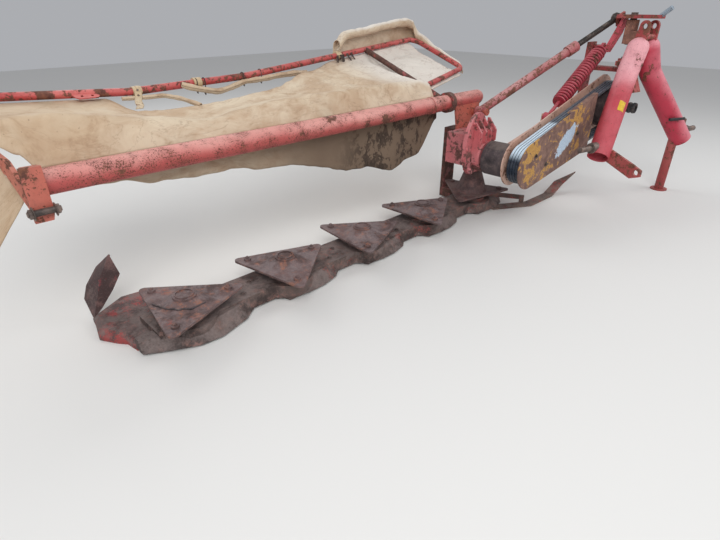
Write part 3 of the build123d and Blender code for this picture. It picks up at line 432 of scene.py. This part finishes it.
def gripFinish():
    make = Finish("gripGrey")
    wear = make.edge(make.noise(60, 4, 0.7), 0.5, 0.7)
    colour = make.mix(wear, (138, 152, 164), (104, 112, 120))
    return make.give(colour=colour, roughness=(0.5 + wear * 0.2).within(),
                     normal=make.bump(make.noise(300), 0.2, 0.0004))


materials["grip"] = gripFinish()
for finish, names in nodeFinish.items():
    for name in names:
        mesh = nodes[name].data
        mesh.materials.clear()
        mesh.materials.append(materials[finish])
print("frame painted")


# Reads a value off a table of positions along the bar, eased between its lines
def valueAt(table, x):
    if x <= table[0][0]:
        return table[0][1]
    for (before, low), (after, high) in zip(table, table[1:]):
        if x <= after:
            share = (x - before) / (after - before)
            return low + (high - low) * share * share * (3 - 2 * share)
    return table[-1][1]


def ramp(value, start, length):
    return min(max((value - start) / length, 0), 1)


def ruffle(spot, scale, seed=0.0):
    # smooth noise from -1 to 1, the same on every run
    return noise.noise(Vector((spot[0] * scale + seed, spot[1] * scale - seed, spot[2] * scale)))


def edgesOf(corners):
    # each edge once, in the same order on every run
    return list(dict.fromkeys(edge for vertex in corners for edge in vertex.link_edges))


def addPiece(name, shape, material, body, smooth=True):
    bmesh.ops.recalc_face_normals(shape, faces=shape.faces[:])
    mesh = bpy.data.meshes.new(name)
    shape.to_mesh(mesh)
    shape.free()
    for face in mesh.polygons:
        face.use_smooth = smooth
    piece = linked(name, mesh)
    mesh.materials.append(materials[material])
    if body:
        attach(piece, body)
    return piece


def resampled(points, count):
    # the same line in equal steps
    steps = [0.0]
    for before, after in zip(points, points[1:]):
        steps.append(steps[-1] + (after - before).length)
    result = []
    leg = 0
    for number in range(count + 1):
        aim = steps[-1] * number / count
        while leg < len(points) - 2 and steps[leg + 1] < aim:
            leg += 1
        share = (aim - steps[leg]) / max(steps[leg + 1] - steps[leg], 1e-9)
        result.append(points[leg].lerp(points[leg + 1], share))
    return result


def softened(points, passes):
    for _ in range(passes):
        inner = [(before + here * 2 + after) / 4
                 for before, here, after in zip(points, points[1:], points[2:])]
        points = [points[0], *inner, points[-1]]
    return points


# A sheet of cloth: a flat grid whose columns are laid on the lines that lineAt gives, with both faces and an
# edge. Its map is its flat size in metres. Gives the piece and the area of one face in square metres
def clothPiece(name, given, lineAt, body, wrinkle, material="canvas"):
    columns, rows, (wide, deep) = given["columns"], given["rows"], given["map"]
    shape = bmesh.new()
    bmesh.ops.create_grid(shape, x_segments=columns, y_segments=rows, size=0.5)
    uvLayer = shape.loops.layers.uv.new("cloth")
    lines = [lineAt(number / columns) for number in range(columns + 1)]
    for vertex in shape.verts:
        column = round((vertex.co.x + 0.5) * columns)
        row = round((vertex.co.y + 0.5) * rows)
        for loop in vertex.link_loops:
            loop[uvLayer].uv = (column / columns * wide, row / rows * deep)
        vertex.co = lines[column][row]
    shape.normal_update()
    moves = [(vertex, vertex.normal * wrinkle(vertex.co)) for vertex in shape.verts]
    for vertex, move in moves:
        vertex.co += move
    for vertex in shape.verts:
        vertex.co = place(*vertex.co)
    area = sum(face.calc_area() for face in shape.faces)
    bmesh.ops.solidify(shape, geom=shape.faces[:], thickness=given["cloth"])
    return addPiece(name, shape, material, body), area


# The cover frame's plane leans back from the main tube; reach is measured in it from the tube's axis
coverFrame = {"axis": (125, 535), "lean": 20, "tube": 13.5,
              "rear": ((-420, 500), (158, 421), (651, 451), (2000, 697)), "front": ((1516, 168), (2000, 296))}


def straightAt(table, x):
    for (before, low), (after, high) in zip(table, table[1:]):
        if x <= after:
            break
    return low + (high - low) * (x - before) / (after - before)


def coverSpot(x, reach, lift=0.0):
    lean = math.radians(coverFrame["lean"])
    y, z = coverFrame["axis"]
    return Vector((x, y + reach * math.cos(lean) - lift * math.sin(lean),
                   z + reach * math.sin(lean) + lift * math.cos(lean)))


def rearTube(x):
    return coverSpot(x, straightAt(coverFrame["rear"], x))


# Main cover sheet: from under the rear tube over the ridge and the front fold down to the main tube,
# torn back to its ridge for a stretch, and slung under the return tube in the inner bay
cover = {
    "columns": 380, "rows": 64, "cloth": 0.0024, "map": (2.4, 0.48), "ends": (-410, 1950), "sag": 14,
    "ridgeY": 280, "foldY": 200, "underTube": 21.5, "tornDrop": 10, "passes": 5,
    # heights of the ridge and the front fold along the bar
    "ridge": ((-410, 672), (-256, 682), (52, 637), (304, 595), (492, 624), (1002, 634), (1349, 624),
              (1436, 630), (1482, 566), (1524, 573), (1950, 585)),
    "fold": ((-410, 664), (-256, 694), (52, 652), (304, 613), (492, 639), (1002, 650), (1349, 640),
             (1440, 634), (1482, 556), (1950, 560)),
    # how far the sheet reaches back from its ridge to the rear tube
    "backShare": ((-410, 0.1), (-380, 0.3), (-330, 0.62), (-256, 1), (70, 1), (118, 0.4), (300, 0.46),
                  (470, 0.42), (640, 0.5), (1000, 0.84), (1230, 1)),
    "frontY": ((-410, 188), (-330, 193), (-290, 182), (-256, 164.3), (1452, 164.3), (1482, 240), (1530, 286)),
    "frontZ": ((-410, 600), (-330, 628), (-290, 602), (-256, 560), (1452, 560), (1482, 552), (1530, 574)),
    # the inner bay begins over a short stretch, its front edge runs below the return tube, and its ridge and
    # fold lie at a share of the way to that edge and a drop below it
    "bayFrom": (1440, 84), "bayEdge": 26, "bayDrop": 18, "returnFrom": 1516, "bayLine": ((0.42, 8), (0.8, 5)),
    # nothing is creased this near to the rear tube, or below this height at the main tube
    "tubeGap": (12, 70), "creaseFrom": (574, 40),
}


def coverLine(along):
    start, end = cover["ends"]
    x = start + (end - start) * along
    tube = rearTube(x)
    ridge = Vector((x, cover["ridgeY"], valueAt(cover["ridge"], x)))
    fold = Vector((x, cover["foldY"], valueAt(cover["fold"], x)))
    front = Vector((x, valueAt(cover["frontY"], x), valueAt(cover["frontZ"], x)))
    bay = ramp(x, *cover["bayFrom"])
    back = Vector((x, tube.y + 4, tube.z - cover["underTube"] + 4 * bay))
    if bay:
        frontTube = straightAt(coverFrame["front"], max(x, cover["returnFrom"]))
        front = front.lerp(coverSpot(x, frontTube - cover["bayEdge"] * bay, -cover["bayDrop"]), bay)
        slung = [back.lerp(front, share) - Vector((0, 0, drop)) for share, drop in cover["bayLine"]]
        ridge, fold = ridge.lerp(slung[0], bay), fold.lerp(slung[1], bay)
    reach = valueAt(cover["backShare"], x)
    torn = ridge.lerp(back, reach) - Vector((0, 0, cover["tornDrop"] * (1 - reach)))
    hang = torn.lerp(ridge, 0.5) - Vector((0, 0, cover["sag"] * reach))
    line = resampled([torn, hang, ridge, fold, front], cover["rows"])
    return softened(line, cover["passes"])


def coverWrinkle(spot):
    # broad creases, slanting pleats on the front face and small crumples, none of them at the tubes
    tube = rearTube(spot.x)
    free = ramp(tube.y - spot.y, *cover["tubeGap"]) * ramp(spot.z, *cover["creaseFrom"])
    slant = math.sin((spot.x * 0.9 + (spot.z - 560) * 2.1) * 0.045 + 2.5 * ruffle(spot, 0.003, 4))
    pleat = max(ruffle(spot, 0.0042, 9), 0) * slant
    creased = 1 - 2 * abs(ruffle((spot.x * 0.6, spot.y, spot.z * 1.4), 0.011, 11))
    return free * (9 * ruffle(spot, 0.005) + 3.5 * ruffle(spot, 0.019, 3) + 6 * pleat + 3.4 * creased ** 3
                   + 1.1 * ruffle(spot, 0.06, 7))


coverCloth, coverArea = clothPiece("coverCloth", cover, coverLine, None, coverWrinkle)
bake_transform(coverCloth)
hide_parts("cover_canvas")
print("cover cloth", round(coverArea, 3))

# Curtain that hangs behind the main tube, its lower edge turned up
curtain = {
    "columns": 220, "rows": 40, "cloth": 0.0024, "map": (1.74, 0.24), "ends": (-256, 1478), "top": 559,
    "y": 164.5, "roll": 5.5, "rollRows": 8, "rollTurn": 1.35 * math.pi, "flare": 9, "belly": 10,
    "fullDepth": 160,
    "hem": ((-256, 505), (-60, 486), (60, 456), (304, 445), (492, 415), (1002, 310), (1167, 268), (1349, 305),
            (1478, 460)),
}


def curtainLine(share):
    start, end = curtain["ends"]
    x = start + (end - start) * share
    hem = valueAt(curtain["hem"], x) + 4 * ruffle((x, 0, 0), 0.02, 5)
    depth = curtain["top"] - hem
    line = []
    hangRows = curtain["rows"] - curtain["rollRows"]
    wave = math.sin(x * 0.021 + 2 * ruffle((x, 0, 0), 0.004, 2)) * 7 + 5 * ruffle((x, 0, 0), 0.012, 8)
    for row in range(curtain["rows"] + 1):
        if row <= hangRows:
            down = row / hangRows
            out = (curtain["flare"] + wave) * down ** 1.6 * min(depth / curtain["fullDepth"], 1)
            y = curtain["y"] + 3 + out + curtain["belly"] * down * (1 - down)
            line.append(Vector((x, y, curtain["top"] - depth * down)))
        else:
            turn = (row - hangRows) / curtain["rollRows"] * curtain["rollTurn"]
            roll = curtain["roll"]
            line.append(line[hangRows] + Vector((0, roll * (1 - math.cos(turn)), -roll * math.sin(turn))))
    return line


def curtainWrinkle(spot):
    free = ramp(curtain["top"] - spot.z, 0, 90)
    return free * (3.2 * ruffle(spot, 0.013, 6) + 1.2 * ruffle(spot, 0.045, 1))


curtainCloth, curtainArea = clothPiece("curtainCloth", curtain, curtainLine, "bar", curtainWrinkle, "curtain")
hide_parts("hanging_canvas")
print("curtain cloth", round(curtainArea, 3))

# Rear flap: stands up behind the rear tube, its top rolled forward, and turns down over the end arm
flap = {
    "columns": 150, "rows": 44, "cloth": 0.0024, "map": (1.09, 0.22), "gap": 25, "roll": 22, "rollTurn": 290,
    "rollRows": 20, "rollShare": 0.36, "tightened": 0.25, "belly": 5, "tubeEnd": 1990, "corner": (690, 120),
    "path": ((1262, 0), (1950, 0), (2012, -20), (2040, -100), (2044, -250), (2036, -385), (1990, -432)),
    "height": ((0, 78), (60, 112), (640, 126), (720, 112), (810, 66), (930, 42), (1100, 38), (1180, 24)),
}


def flapBase(x, back):
    # the tube's line, then the end arm's line, which runs forwards in the frame's plane
    tubeX = min(x, flap["tubeEnd"])
    lean = math.radians(coverFrame["lean"])
    rise = back * math.sin(lean) - 6 + back * 0.03
    return rearTube(tubeX) + Vector((x - tubeX, back * math.cos(lean) + flap["gap"], rise))


def flapLine(share):
    base = resampled([flapBase(*point) for point in flap["path"]], flap["columns"])
    spot = base[round(share * flap["columns"])]
    gone = share * sum((after - before).length for before, after in zip(base, base[1:]))
    height = valueAt(flap["height"], gone) + 3 * ruffle(spot, 0.02, 2)
    inward = Vector((0, -1, 0)).lerp(Vector((-1, 0, 0)), ramp(gone, *flap["corner"])).normalized()
    roll = min(flap["roll"], height * flap["rollShare"]) * (1 + 0.18 * ruffle(spot, 0.014, 5))
    line = []
    rollRows = flap["rollRows"]
    standRows = flap["rows"] - rollRows
    for row in range(flap["rows"] + 1):
        if row <= standRows:
            up = row / standRows
            bulge = inward * flap["belly"] * math.sin(up * math.pi)
            line.append(spot + Vector((0, 0, (height - roll) * up)) - bulge)
        else:
            turn = math.radians(flap["rollTurn"]) * (row - standRows) / rollRows
            curl = roll * (1 - flap["tightened"] * (row - standRows) / rollRows)
            over = inward * (roll - curl * math.cos(turn))
            line.append(line[standRows] + over + Vector((0, 0, curl * math.sin(turn))))
    return line


def flapWrinkle(spot):
    return 3.0 * ruffle(spot, 0.011, 3) + 1.5 * ruffle(spot, 0.04, 9)


flapCloth, flapArea = clothPiece("flapCloth", flap, flapLine, "cover_frame", flapWrinkle, "flap")
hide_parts("cover_canvas")
print("flap cloth", round(flapArea, 3))

# Outer flap: a corner of cloth that hangs down outside the end bracket
outerCorner = {"columns": 30, "rows": 40, "cloth": 0.0024, "map": (0.11, 0.27),
               "edges": (((-412, 188, 604), (-344, 190, 626)), ((-414, 196, 345), (-306, 186, 480)))}


def outerLine(share):
    high, low = [Vector(outer).lerp(Vector(inner), share) for outer, inner in outerCorner["edges"]]
    line = resampled([high, high.lerp(low, 0.4) + Vector((-6 * share, 3, 0)), low], outerCorner["rows"])
    return softened(line, 3)


outerFlap, outerArea = clothPiece("outerFlap", outerCorner, outerLine, "cover_frame",
                                  lambda spot: 4 * ruffle(spot, 0.02, 4))
print("outer flap", round(outerArea, 3))

# Balance spring: one wire wound on its axis, attached to the spring's body
coil = {"top": (2405, -205, 757), "foot": (1890, -205, 458), "start": 46, "length": 420, "ring": 31.4,
        "wire": 6.6, "turns": 20, "steps": 24, "keep": 0.73}
coilWay = (Vector(coil["foot"]) - Vector(coil["top"])).normalized()
coilStart = place(*(Vector(coil["top"]) + coilWay * (coil["start"] + coil["wire"])))
coilSide = Vector((0, 1, 0))
coilPitch = (coil["length"] - 2 * coil["wire"]) / coil["turns"] / 1000
shape = bmesh.new()
ringPlace = Matrix.Translation(coilStart + coilSide * coil["ring"] / 1000)
ringPlace = ringPlace @ (coilWay.cross(coilSide)).to_track_quat("Z", "Y").to_matrix().to_4x4()
wire = bmesh.ops.create_circle(shape, cap_ends=False, radius=coil["wire"] / 1000, segments=12,
                               matrix=ringPlace)["verts"]
bmesh.ops.spin(shape, geom=wire + edgesOf(wire), cent=coilStart, axis=coilWay,
               dvec=coilWay * coilPitch / coil["steps"], angle=2 * math.pi * coil["turns"],
               steps=coil["steps"] * coil["turns"], use_merge=False)
bmesh.ops.holes_fill(shape, edges=[edge for edge in shape.edges if edge.is_boundary])
springCoil = addPiece("springCoil", shape, "spring", "spring")
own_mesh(springCoil)
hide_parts("spring_coil")
print("spring wound")

# Small pieces on the frame; spots are in millimetres of the layout
def stood(spot, way, lift=0.0):
    # stands a shape's Z axis along way, lifted along it
    way = Vector(way).normalized()
    turn = way.to_track_quat("Z", "Y").to_matrix().to_4x4()
    return Matrix.Translation(place(*(Vector(spot) + way * lift))) @ turn


def boltSet(name, body, material, bolts, headHeight=0.62):
    # hexagon heads with a washer and the tip of the thread; a bolt is its spot, its way and half its width
    washer, washerTop = 1.8, 1.6
    shape = bmesh.new()
    for spot, way, half in bolts:
        tall = half * headHeight
        head = bmesh.ops.create_cone(shape, cap_ends=True, segments=6, radius1=half / 1000,
                                     radius2=half / 1000, depth=tall / 1000,
                                     matrix=stood(spot, way, washerTop + tall / 2))["verts"]
        bmesh.ops.bevel(shape, geom=edgesOf(head), offset=half * 0.00008, affect="EDGES", segments=2,
                        profile=0.5, material=-1)
        for radius, depth, lift in ((half * 1.35, washer, 0.7),
                                    (half * 0.55, tall * 0.7, washerTop + tall * 1.1)):
            bmesh.ops.create_cone(shape, cap_ends=True, segments=20, radius1=radius / 1000,
                                  radius2=radius * 0.00094, depth=depth / 1000, matrix=stood(spot, way, lift))
    return addPiece(name, shape, material, body, smooth=False)


def ringEdges(shape, corners):
    return [shape.edges.new(pair) for pair in zip(corners, corners[1:] + corners[:1])]


def bandPiece(name, body, material, bands):
    # round bands, each the full spin of its section
    shape = bmesh.new()
    for spot, way, inner, wall, width in bands:
        local = stood(spot, way)
        outer, half = inner + wall, width / 2
        section = []
        for radius, along in ((inner, -half), (outer, -half), (outer, half), (inner, half)):
            section.append(shape.verts.new(local @ Vector((radius / 1000, 0, along / 1000))))
        bmesh.ops.spin(shape, geom=section + ringEdges(shape, section), cent=place(*spot),
                       axis=Vector(way).normalized(), angle=2 * math.pi, steps=40, use_merge=True)
    return addPiece(name, shape, material, body, smooth=False)


def roundRun(name, body, material, runs, lumps=0.0, lumpScale=0.06, closed=False):
    # rods, weld beads and a torn edge with its painted shade line: a round line through each run's spots, its
    # skin moved by noise
    shape = bmesh.new()
    for spots, radius in runs:
        curve = bpy.data.curves.new(name, "CURVE")
        curve.dimensions = "3D"
        curve.bevel_depth = radius / 1000
        curve.bevel_resolution = 3
        curve.resolution_u = 10
        curve.use_fill_caps = True
        spline = curve.splines.new("NURBS")
        spline.points.add(len(spots) - 1)
        for point, spot in zip(spline.points, spots):
            point.co = (*place(*spot), 1)
        spline.order_u = 3
        spline.use_endpoint_u = not closed
        spline.use_cyclic_u = closed
        holder = bpy.data.objects.new(name, curve)
        mesh = bpy.data.meshes.new_from_object(holder)
        shape.from_mesh(mesh)
        bpy.data.objects.remove(holder)
        bpy.data.meshes.remove(mesh)
        bpy.data.curves.remove(curve)
    bmesh.ops.remove_doubles(shape, verts=shape.verts, dist=0.00005)
    bmesh.ops.recalc_face_normals(shape, faces=shape.faces[:])
    shape.normal_update()
    moves = [(vertex, vertex.normal * ruffle(vertex.co * 1000, lumpScale) * lumps / 1000)
             for vertex in shape.verts]
    for vertex, move in moves:
        vertex.co += move
    return addPiece(name, shape, material, body)


def platePiece(name, body, material, outline, holes, thickness, spot, across, up):
    # a flat plate in its own plane, with its holes cut through
    across, up = Vector(across).normalized(), Vector(up).normalized()
    shape = bmesh.new()
    rings = [outline]
    for (middleA, middleB), radius in holes:
        rings.append([(middleA + radius * math.cos(turn * math.pi / 10),
                       middleB + radius * math.sin(turn * math.pi / 10)) for turn in range(20)])
    for ring in rings:
        ringEdges(shape, [shape.verts.new((a / 1000, b / 1000, 0)) for a, b in ring])
    bmesh.ops.triangle_fill(shape, use_beauty=True, use_dissolve=False, edges=shape.edges[:])
    raised = bmesh.ops.extrude_face_region(shape, geom=shape.faces[:])["geom"]
    raisedVerts = [part for part in raised if isinstance(part, bmesh.types.BMVert)]
    bmesh.ops.translate(shape, vec=(0, 0, thickness / 1000), verts=raisedVerts)
    turn = Matrix((across, up, across.cross(up))).transposed().to_4x4()
    bmesh.ops.transform(shape, matrix=Matrix.Translation(place(*spot)) @ turn, verts=shape.verts)
    return addPiece(name, shape, material, body, smooth=False)


# Cloth rolled on itself below the rear tube, as a hem or a torn strip. Its spots are given along the bar,
# forwards and down from the tube's axis, and a fallen end by its spots in the layout
def rolledPiece(name, given):
    columns, rows = given["columns"], given["rows"]
    points = [rearTube(x) - Vector((0, forward, down)) for x, forward, down in given["under"]]
    path = softened(resampled(points + [Vector(point) for point in given["fallen"]], columns), 6)

    def rollLine(share):
        number = round(share * columns)
        ahead = (path[min(number + 1, columns)] - path[max(number - 1, 0)]).normalized()
        side = ahead.cross(Vector((0, 0, 1))).normalized()
        over = side.cross(ahead)
        reach = given["radius"] * (1 + 0.35 * ruffle(path[number], 0.02, 3))
        pinch = 1 - 0.5 * max(ruffle(path[number], 0.008, 8), 0)
        line = []
        for row in range(rows + 1):
            turn = row / rows * math.pi * 2.5
            size = reach * (1 - 0.22 * row / rows)
            line.append(path[number] + side * math.cos(turn) * size * pinch + over * math.sin(turn) * size)
        return line

    return clothPiece(name, given, rollLine, "cover_frame", lambda spot: 1.1 * ruffle(spot, 0.05, 2))[0]


rolledHem = rolledPiece("rolledHem", {
    "columns": 110, "rows": 24, "cloth": 0.0018, "map": (0.67, 0.095), "radius": 12.5,
    "under": ((352, 8, -2), (372, 20, 8), (430, 22, 24), (500, 18, 42), (560, 20, 34), (625, 22, 18),
              (720, 22, 22), (820, 22, 24), (930, 20, 30), (1010, 16, 40)), "fallen": ()})
tornStrip = rolledPiece("tornStrip", {
    "columns": 60, "rows": 24, "cloth": 0.0018, "map": (0.33, 0.065), "radius": 8.5,
    "under": ((118, 20, 20), (200, 22, 23), (270, 22, 25)),
    "fallen": ((312, 470, 646), (336, 420, 634), (350, 388, 626))})

# Wire ties round the tube and the hem below it
ties = {"at": ((412, 21, 20), (446, 20, 30), (629, 22, 18), (724, 22, 22)), "loop": 20, "wire": 1.7}
tieLoops = []
for x, forward, down in ties["at"]:
    loop = []
    for step in range(12):
        turn = step / 12 * 2 * math.pi
        middle = rearTube(x) - Vector((0, forward, down)) * (0.5 - 0.5 * math.sin(turn + 0.8))
        ring = Vector((3 * math.sin(2 * turn), -ties["loop"] * math.cos(turn), ties["loop"] * math.sin(turn)))
        loop.append(middle + ring)
    tieLoops.append((loop, ties["wire"]))
roundRun("blackTies", "cover_frame", "rag", tieLoops, 0.5, 0.05, closed=True)

# Rags: each has its place along the bar, its length and how far it leans
ragSet = {"columns": 6, "rows": 14, "cloth": 0.0016, "map": (0.02, 0.06), "width": 17, "forward": 14,
          "hung": ((1268, 46, 12), (1290, 62, -8), (1318, 40, 18), (1352, 58, 26), (1246, 34, -16))}
for number, (x, drop, lean) in enumerate(ragSet["hung"]):
    def ragLine(share, x=x, drop=drop, lean=lean):
        top = rearTube(x + (share - 0.5) * ragSet["width"]) + Vector((0, -15, 4))
        line = []
        for row in range(ragSet["rows"] + 1):
            aside = lean * row / ragSet["rows"] + 4 * ruffle((row * 6, x, 0), 0.05)
            forward = -ragSet["forward"] * row / ragSet["rows"] - 5
            line.append(top + Vector((aside, forward, -drop * row / ragSet["rows"] * (0.7 + 0.3 * share))))
        return line

    (clothPiece(f"rag{number + 1}", ragSet, ragLine, "cover_frame",
                           lambda spot: 3 * ruffle(spot, 0.07, 5), "rag")[0])
print("hem, strip, ties and rags placed")

# Buckle strap over the tube with its tail towards the torn edge, and the red tab with two holes
strap = {"columns": 6, "rows": 24, "cloth": 0.0026, "map": (0.026, 0.14), "x": 178, "way": (1, 0.05, 0.02),
         "radius": 13.6, "width": 26,
         "tail": ((-2, 502, 664), (-20, 470, 650), (-26, 440, 640), (-48, 396, 640))}
strapSpot = rearTube(strap["x"])


def tailLine(share):
    x = strap["x"] + (share - 0.5) * strap["width"]
    spots = [Vector((x, strapSpot.y - 15, strapSpot.z))]
    spots += [Vector((x + aside, y, z)) for aside, y, z in strap["tail"]]
    return softened(resampled(spots, strap["rows"]), 2)


strapTail = clothPiece("strapTail", strap, tailLine, "cover_frame", lambda spot: 1.4 * ruffle(spot, 0.05, 5),
                       "clamp")[0]
bandPiece("buckleStrap", "cover_frame", "clamp",
          [(strapSpot, strap["way"], strap["radius"], 3, 32),
           (strapSpot + Vector((2, 0, 0)), strap["way"], strap["radius"], 4.4, 9)])
rivets = [(strapSpot + Vector((0, -15, 5)), (0, -0.92, 0.38), 3.4),
          (Vector((strapSpot.x - 4, 500, 667)), (0, -0.5, 0.87), 3.4)]
boltSet("strapRivets", "cover_frame", "pins", rivets, 0.4)
tab = {"x": 12, "thick": 4, "holes": [((-16, 5), 4.6), ((16, 4), 4.6)],
       "outline": [(-46, 22), (-38, 2), (-28, -6), (30, -8), (38, 0), (40, 22), (34, 26), (-40, 26)]}
platePiece("redTab", "cover_frame", "coverTube", tab["outline"], tab["holes"], tab["thick"],
           rearTube(tab["x"]) + Vector((0, -24, -10)), (1, -0.05, 0), (0, 0.86, 0.5))

# Bolts, bands and beads on the bar; the flange is turned 15 degrees about the upright
flange = {"middle": (1508, -50, 365), "ring": 129, "proud": 9, "bolt": 8,
          "degrees": (96, 124, 152, 180, 208, 236)}
flangeWay = Vector((0.2588, -0.9659, 0))
flangeSide = Vector((0.9659, 0.2588, 0))
flangeBolts = []
for degrees in flange["degrees"]:
    turn = math.radians(degrees)
    aside, rise = flange["ring"] * math.cos(turn), flange["ring"] * math.sin(turn)
    spot = Vector(flange["middle"]) + flangeSide * aside + Vector((0, 0, rise)) + flangeWay * flange["proud"]
    flangeBolts.append((spot, flangeWay, flange["bolt"]))
boltSet("flangeBolts", "bar", "casting", flangeBolts)

discPitch = 400
up = (0, 0, 1)
podBolts = [((discPitch * pod + along, across, 58), up, 9) for pod in range(4)
            for along, across in ((178, 62), (200, -18), (262, 40))]
boltSet("bedBolts", "bar", "bed", podBolts)
endBolt = {"rod": [(-330, 60, 478), (-294, 60, 478), (-258, 60, 478)], "radius": 9,
           "nuts": [((-318, 60, 478), (-1, 0, 0), 14), ((-266, 60, 478), (1, 0, 0), 14)]}
roundRun("endBolt", "cover_frame", "rodDark", [(endBolt["rod"], endBolt["radius"])], 0.6)
boltSet("endNuts", "cover_frame", "pins", endBolt["nuts"])
tubeY, tubeZ = coverFrame["axis"]
bandPiece("tubeBand", "bar", "mainTube", [((1376, tubeY, tubeZ), (1, 0, 0), 36.2, 2.2, 26)])
weld = {"from": 1540, "to": 1710, "step": 17, "tube": 36, "down": 0.9, "bead": 3.2}
weldY = tubeY - weld["tube"] * math.cos(weld["down"])
weldZ = tubeZ - weld["tube"] * math.sin(weld["down"]) - 1
weldLine = [(x, weldY, weldZ) for x in range(weld["from"], weld["to"], weld["step"])]
roundRun("tubeWelds", "bar", "mainTube", [(weldLine, weld["bead"])], 1.6, 0.11)

disc = {"phases": (111.6, 9.7, 114.4, 2.3), "rim": (27, 4, 5), "rimZ": 134, "reach": 146, "boltZ": 112.4,
        "bolt": 7.5}
for number, phase in enumerate(disc["phases"]):
    middle = discPitch * number
    bandPiece(f"discRim{number + 1}", f"disc_{number + 1}", "discs",
              [((middle, 0, disc["rimZ"]), up, *disc["rim"])])
    discBolts = []
    for corner in range(3):
        turn = math.radians(phase + 120 * corner)
        spot = (middle + disc["reach"] * math.cos(turn), disc["reach"] * math.sin(turn), disc["boltZ"])
        discBolts.append((spot, up, disc["bolt"]))
    boltSet(f"bladeBolts{number + 1}", f"disc_{number + 1}", "discs", discBolts)
# torn edge on the outer disc: a raised step whose dark colour is a painted shade line
tornEdgeShadeLine = ((-86, 56, 107), (-79, 33, 107), (-72, 4, 110), (-66, -19, 112), (-54, -30, 115), (-46, -46, 113),
         (-29, -52, 116), (-17, -67, 112), (8, -65, 113), (39, -58, 111))
roundRun("discTornEdgeShade", "disc_1", "drum", [(tornEdgeShadeLine, 2.7)], 1.3, 0.12)

# Belt arm and head
guardBolts = ((1673, 292, 9), (1562, 352, 7), (1958, 392, 8))
boltSet("guardBolts", "belt_arm", "rodDark",
        [((x, -343, z), (0, -1, 0), half) for x, z, half in guardBolts])
# the sleeve's section: radius and place along the shaft
sleeve = {"x": 2378, "z": 473,
          "section": ((17.7, -452), (25, -452), (27, -446), (27, -438), (24, -436), (24, -428), (27, -426),
                      (27, -416), (24, -414), (24, -404), (28, -402), (28, -394), (17.7, -394))}
shape = bmesh.new()
rim = [shape.verts.new(place(sleeve["x"] + radius, y, sleeve["z"])) for radius, y in sleeve["section"]]
bmesh.ops.spin(shape, geom=rim + ringEdges(shape, rim), cent=place(sleeve["x"], -440, sleeve["z"]),
               axis=(0, 1, 0), angle=2 * math.pi, steps=40, use_merge=True)
addPiece("shaftSleeve", shape, "rubber", "pto", smooth=False)

# Blank yellow patch, laid round the near leg between two angles
patch = {"columns": 12, "rows": 12, "cloth": 0.0005, "map": (0.034, 0.05), "middle": (2142, -429.5, 493),
         "leg": (287, 55, 358), "radius": 51.7, "from": 12, "to": 50, "half": 26,
         "facing": (-0.932, -0.325, 0.159)}
legWay = Vector(patch["leg"]).normalized()
facing = Vector(patch["facing"])
facing = (facing - legWay * facing.dot(legWay)).normalized()
aside = facing.cross(legWay) * -1


def patchLine(share):
    turn = math.radians(patch["from"] + (patch["to"] - patch["from"]) * share)
    outward = (facing * math.cos(turn) + aside * math.sin(turn)) * patch["radius"]
    return [Vector(patch["middle"]) + outward + legWay * patch["half"] * (row / (patch["rows"] / 2) - 1)
            for row in range(patch["rows"] + 1)]


blankPatch = clothPiece("blankPatch", patch, patchLine, "headstock", lambda spot: 0, "yellow")[0]
bandPiece("standClamp", "headstock", "block", [((2657.5, -599, 392), up, 30.2, 6, 24)])
handleLine = [(2527, -586, 413), (2556, -612, 416), (2584, -640, 419)]
roundRun("standHandle", "headstock", "rubber", [(handleLine, 7.5)], 1.2, 0.05)
print("details placed")

# Floor and light
floor = linked("floor", bpy.data.meshes.new("floor"))
shape = bmesh.new()
bmesh.ops.create_grid(shape, x_segments=1, y_segments=1, size=9)
shape.to_mesh(floor.data)
shape.free()
floorFinish = Finish("paleFloor")
floorFinish.give(colour=tone(226, 225, 222), roughness=0.9)
floor.data.materials.append(floorFinish.material)

world = scene.world or bpy.data.worlds.new("world")
scene.world = world
world.use_nodes = True
world.node_tree.nodes["Background"].inputs[0].default_value = (0.93, 0.95, 1, 1)
world.node_tree.nodes["Background"].inputs[1].default_value = 0.44
lamps = (("key", (-1500, -2600, 3200), 2.4, 112), ("fill", (3600, -2400, 2600), 2.6, 42),
         ("back", (600, 3000, 3000), 2.6, 52))
for name, spot, size, power in lamps:
    lamp = bpy.data.lights.new(name, "AREA")
    lamp.size = size
    lamp.energy = power
    holder = linked(name, lamp)
    holder.location = place(*spot)
    holder.rotation_euler = (place(1000, 0, 300) - holder.location).to_track_quat("-Z", "Y").to_euler()
print("floor and light set")
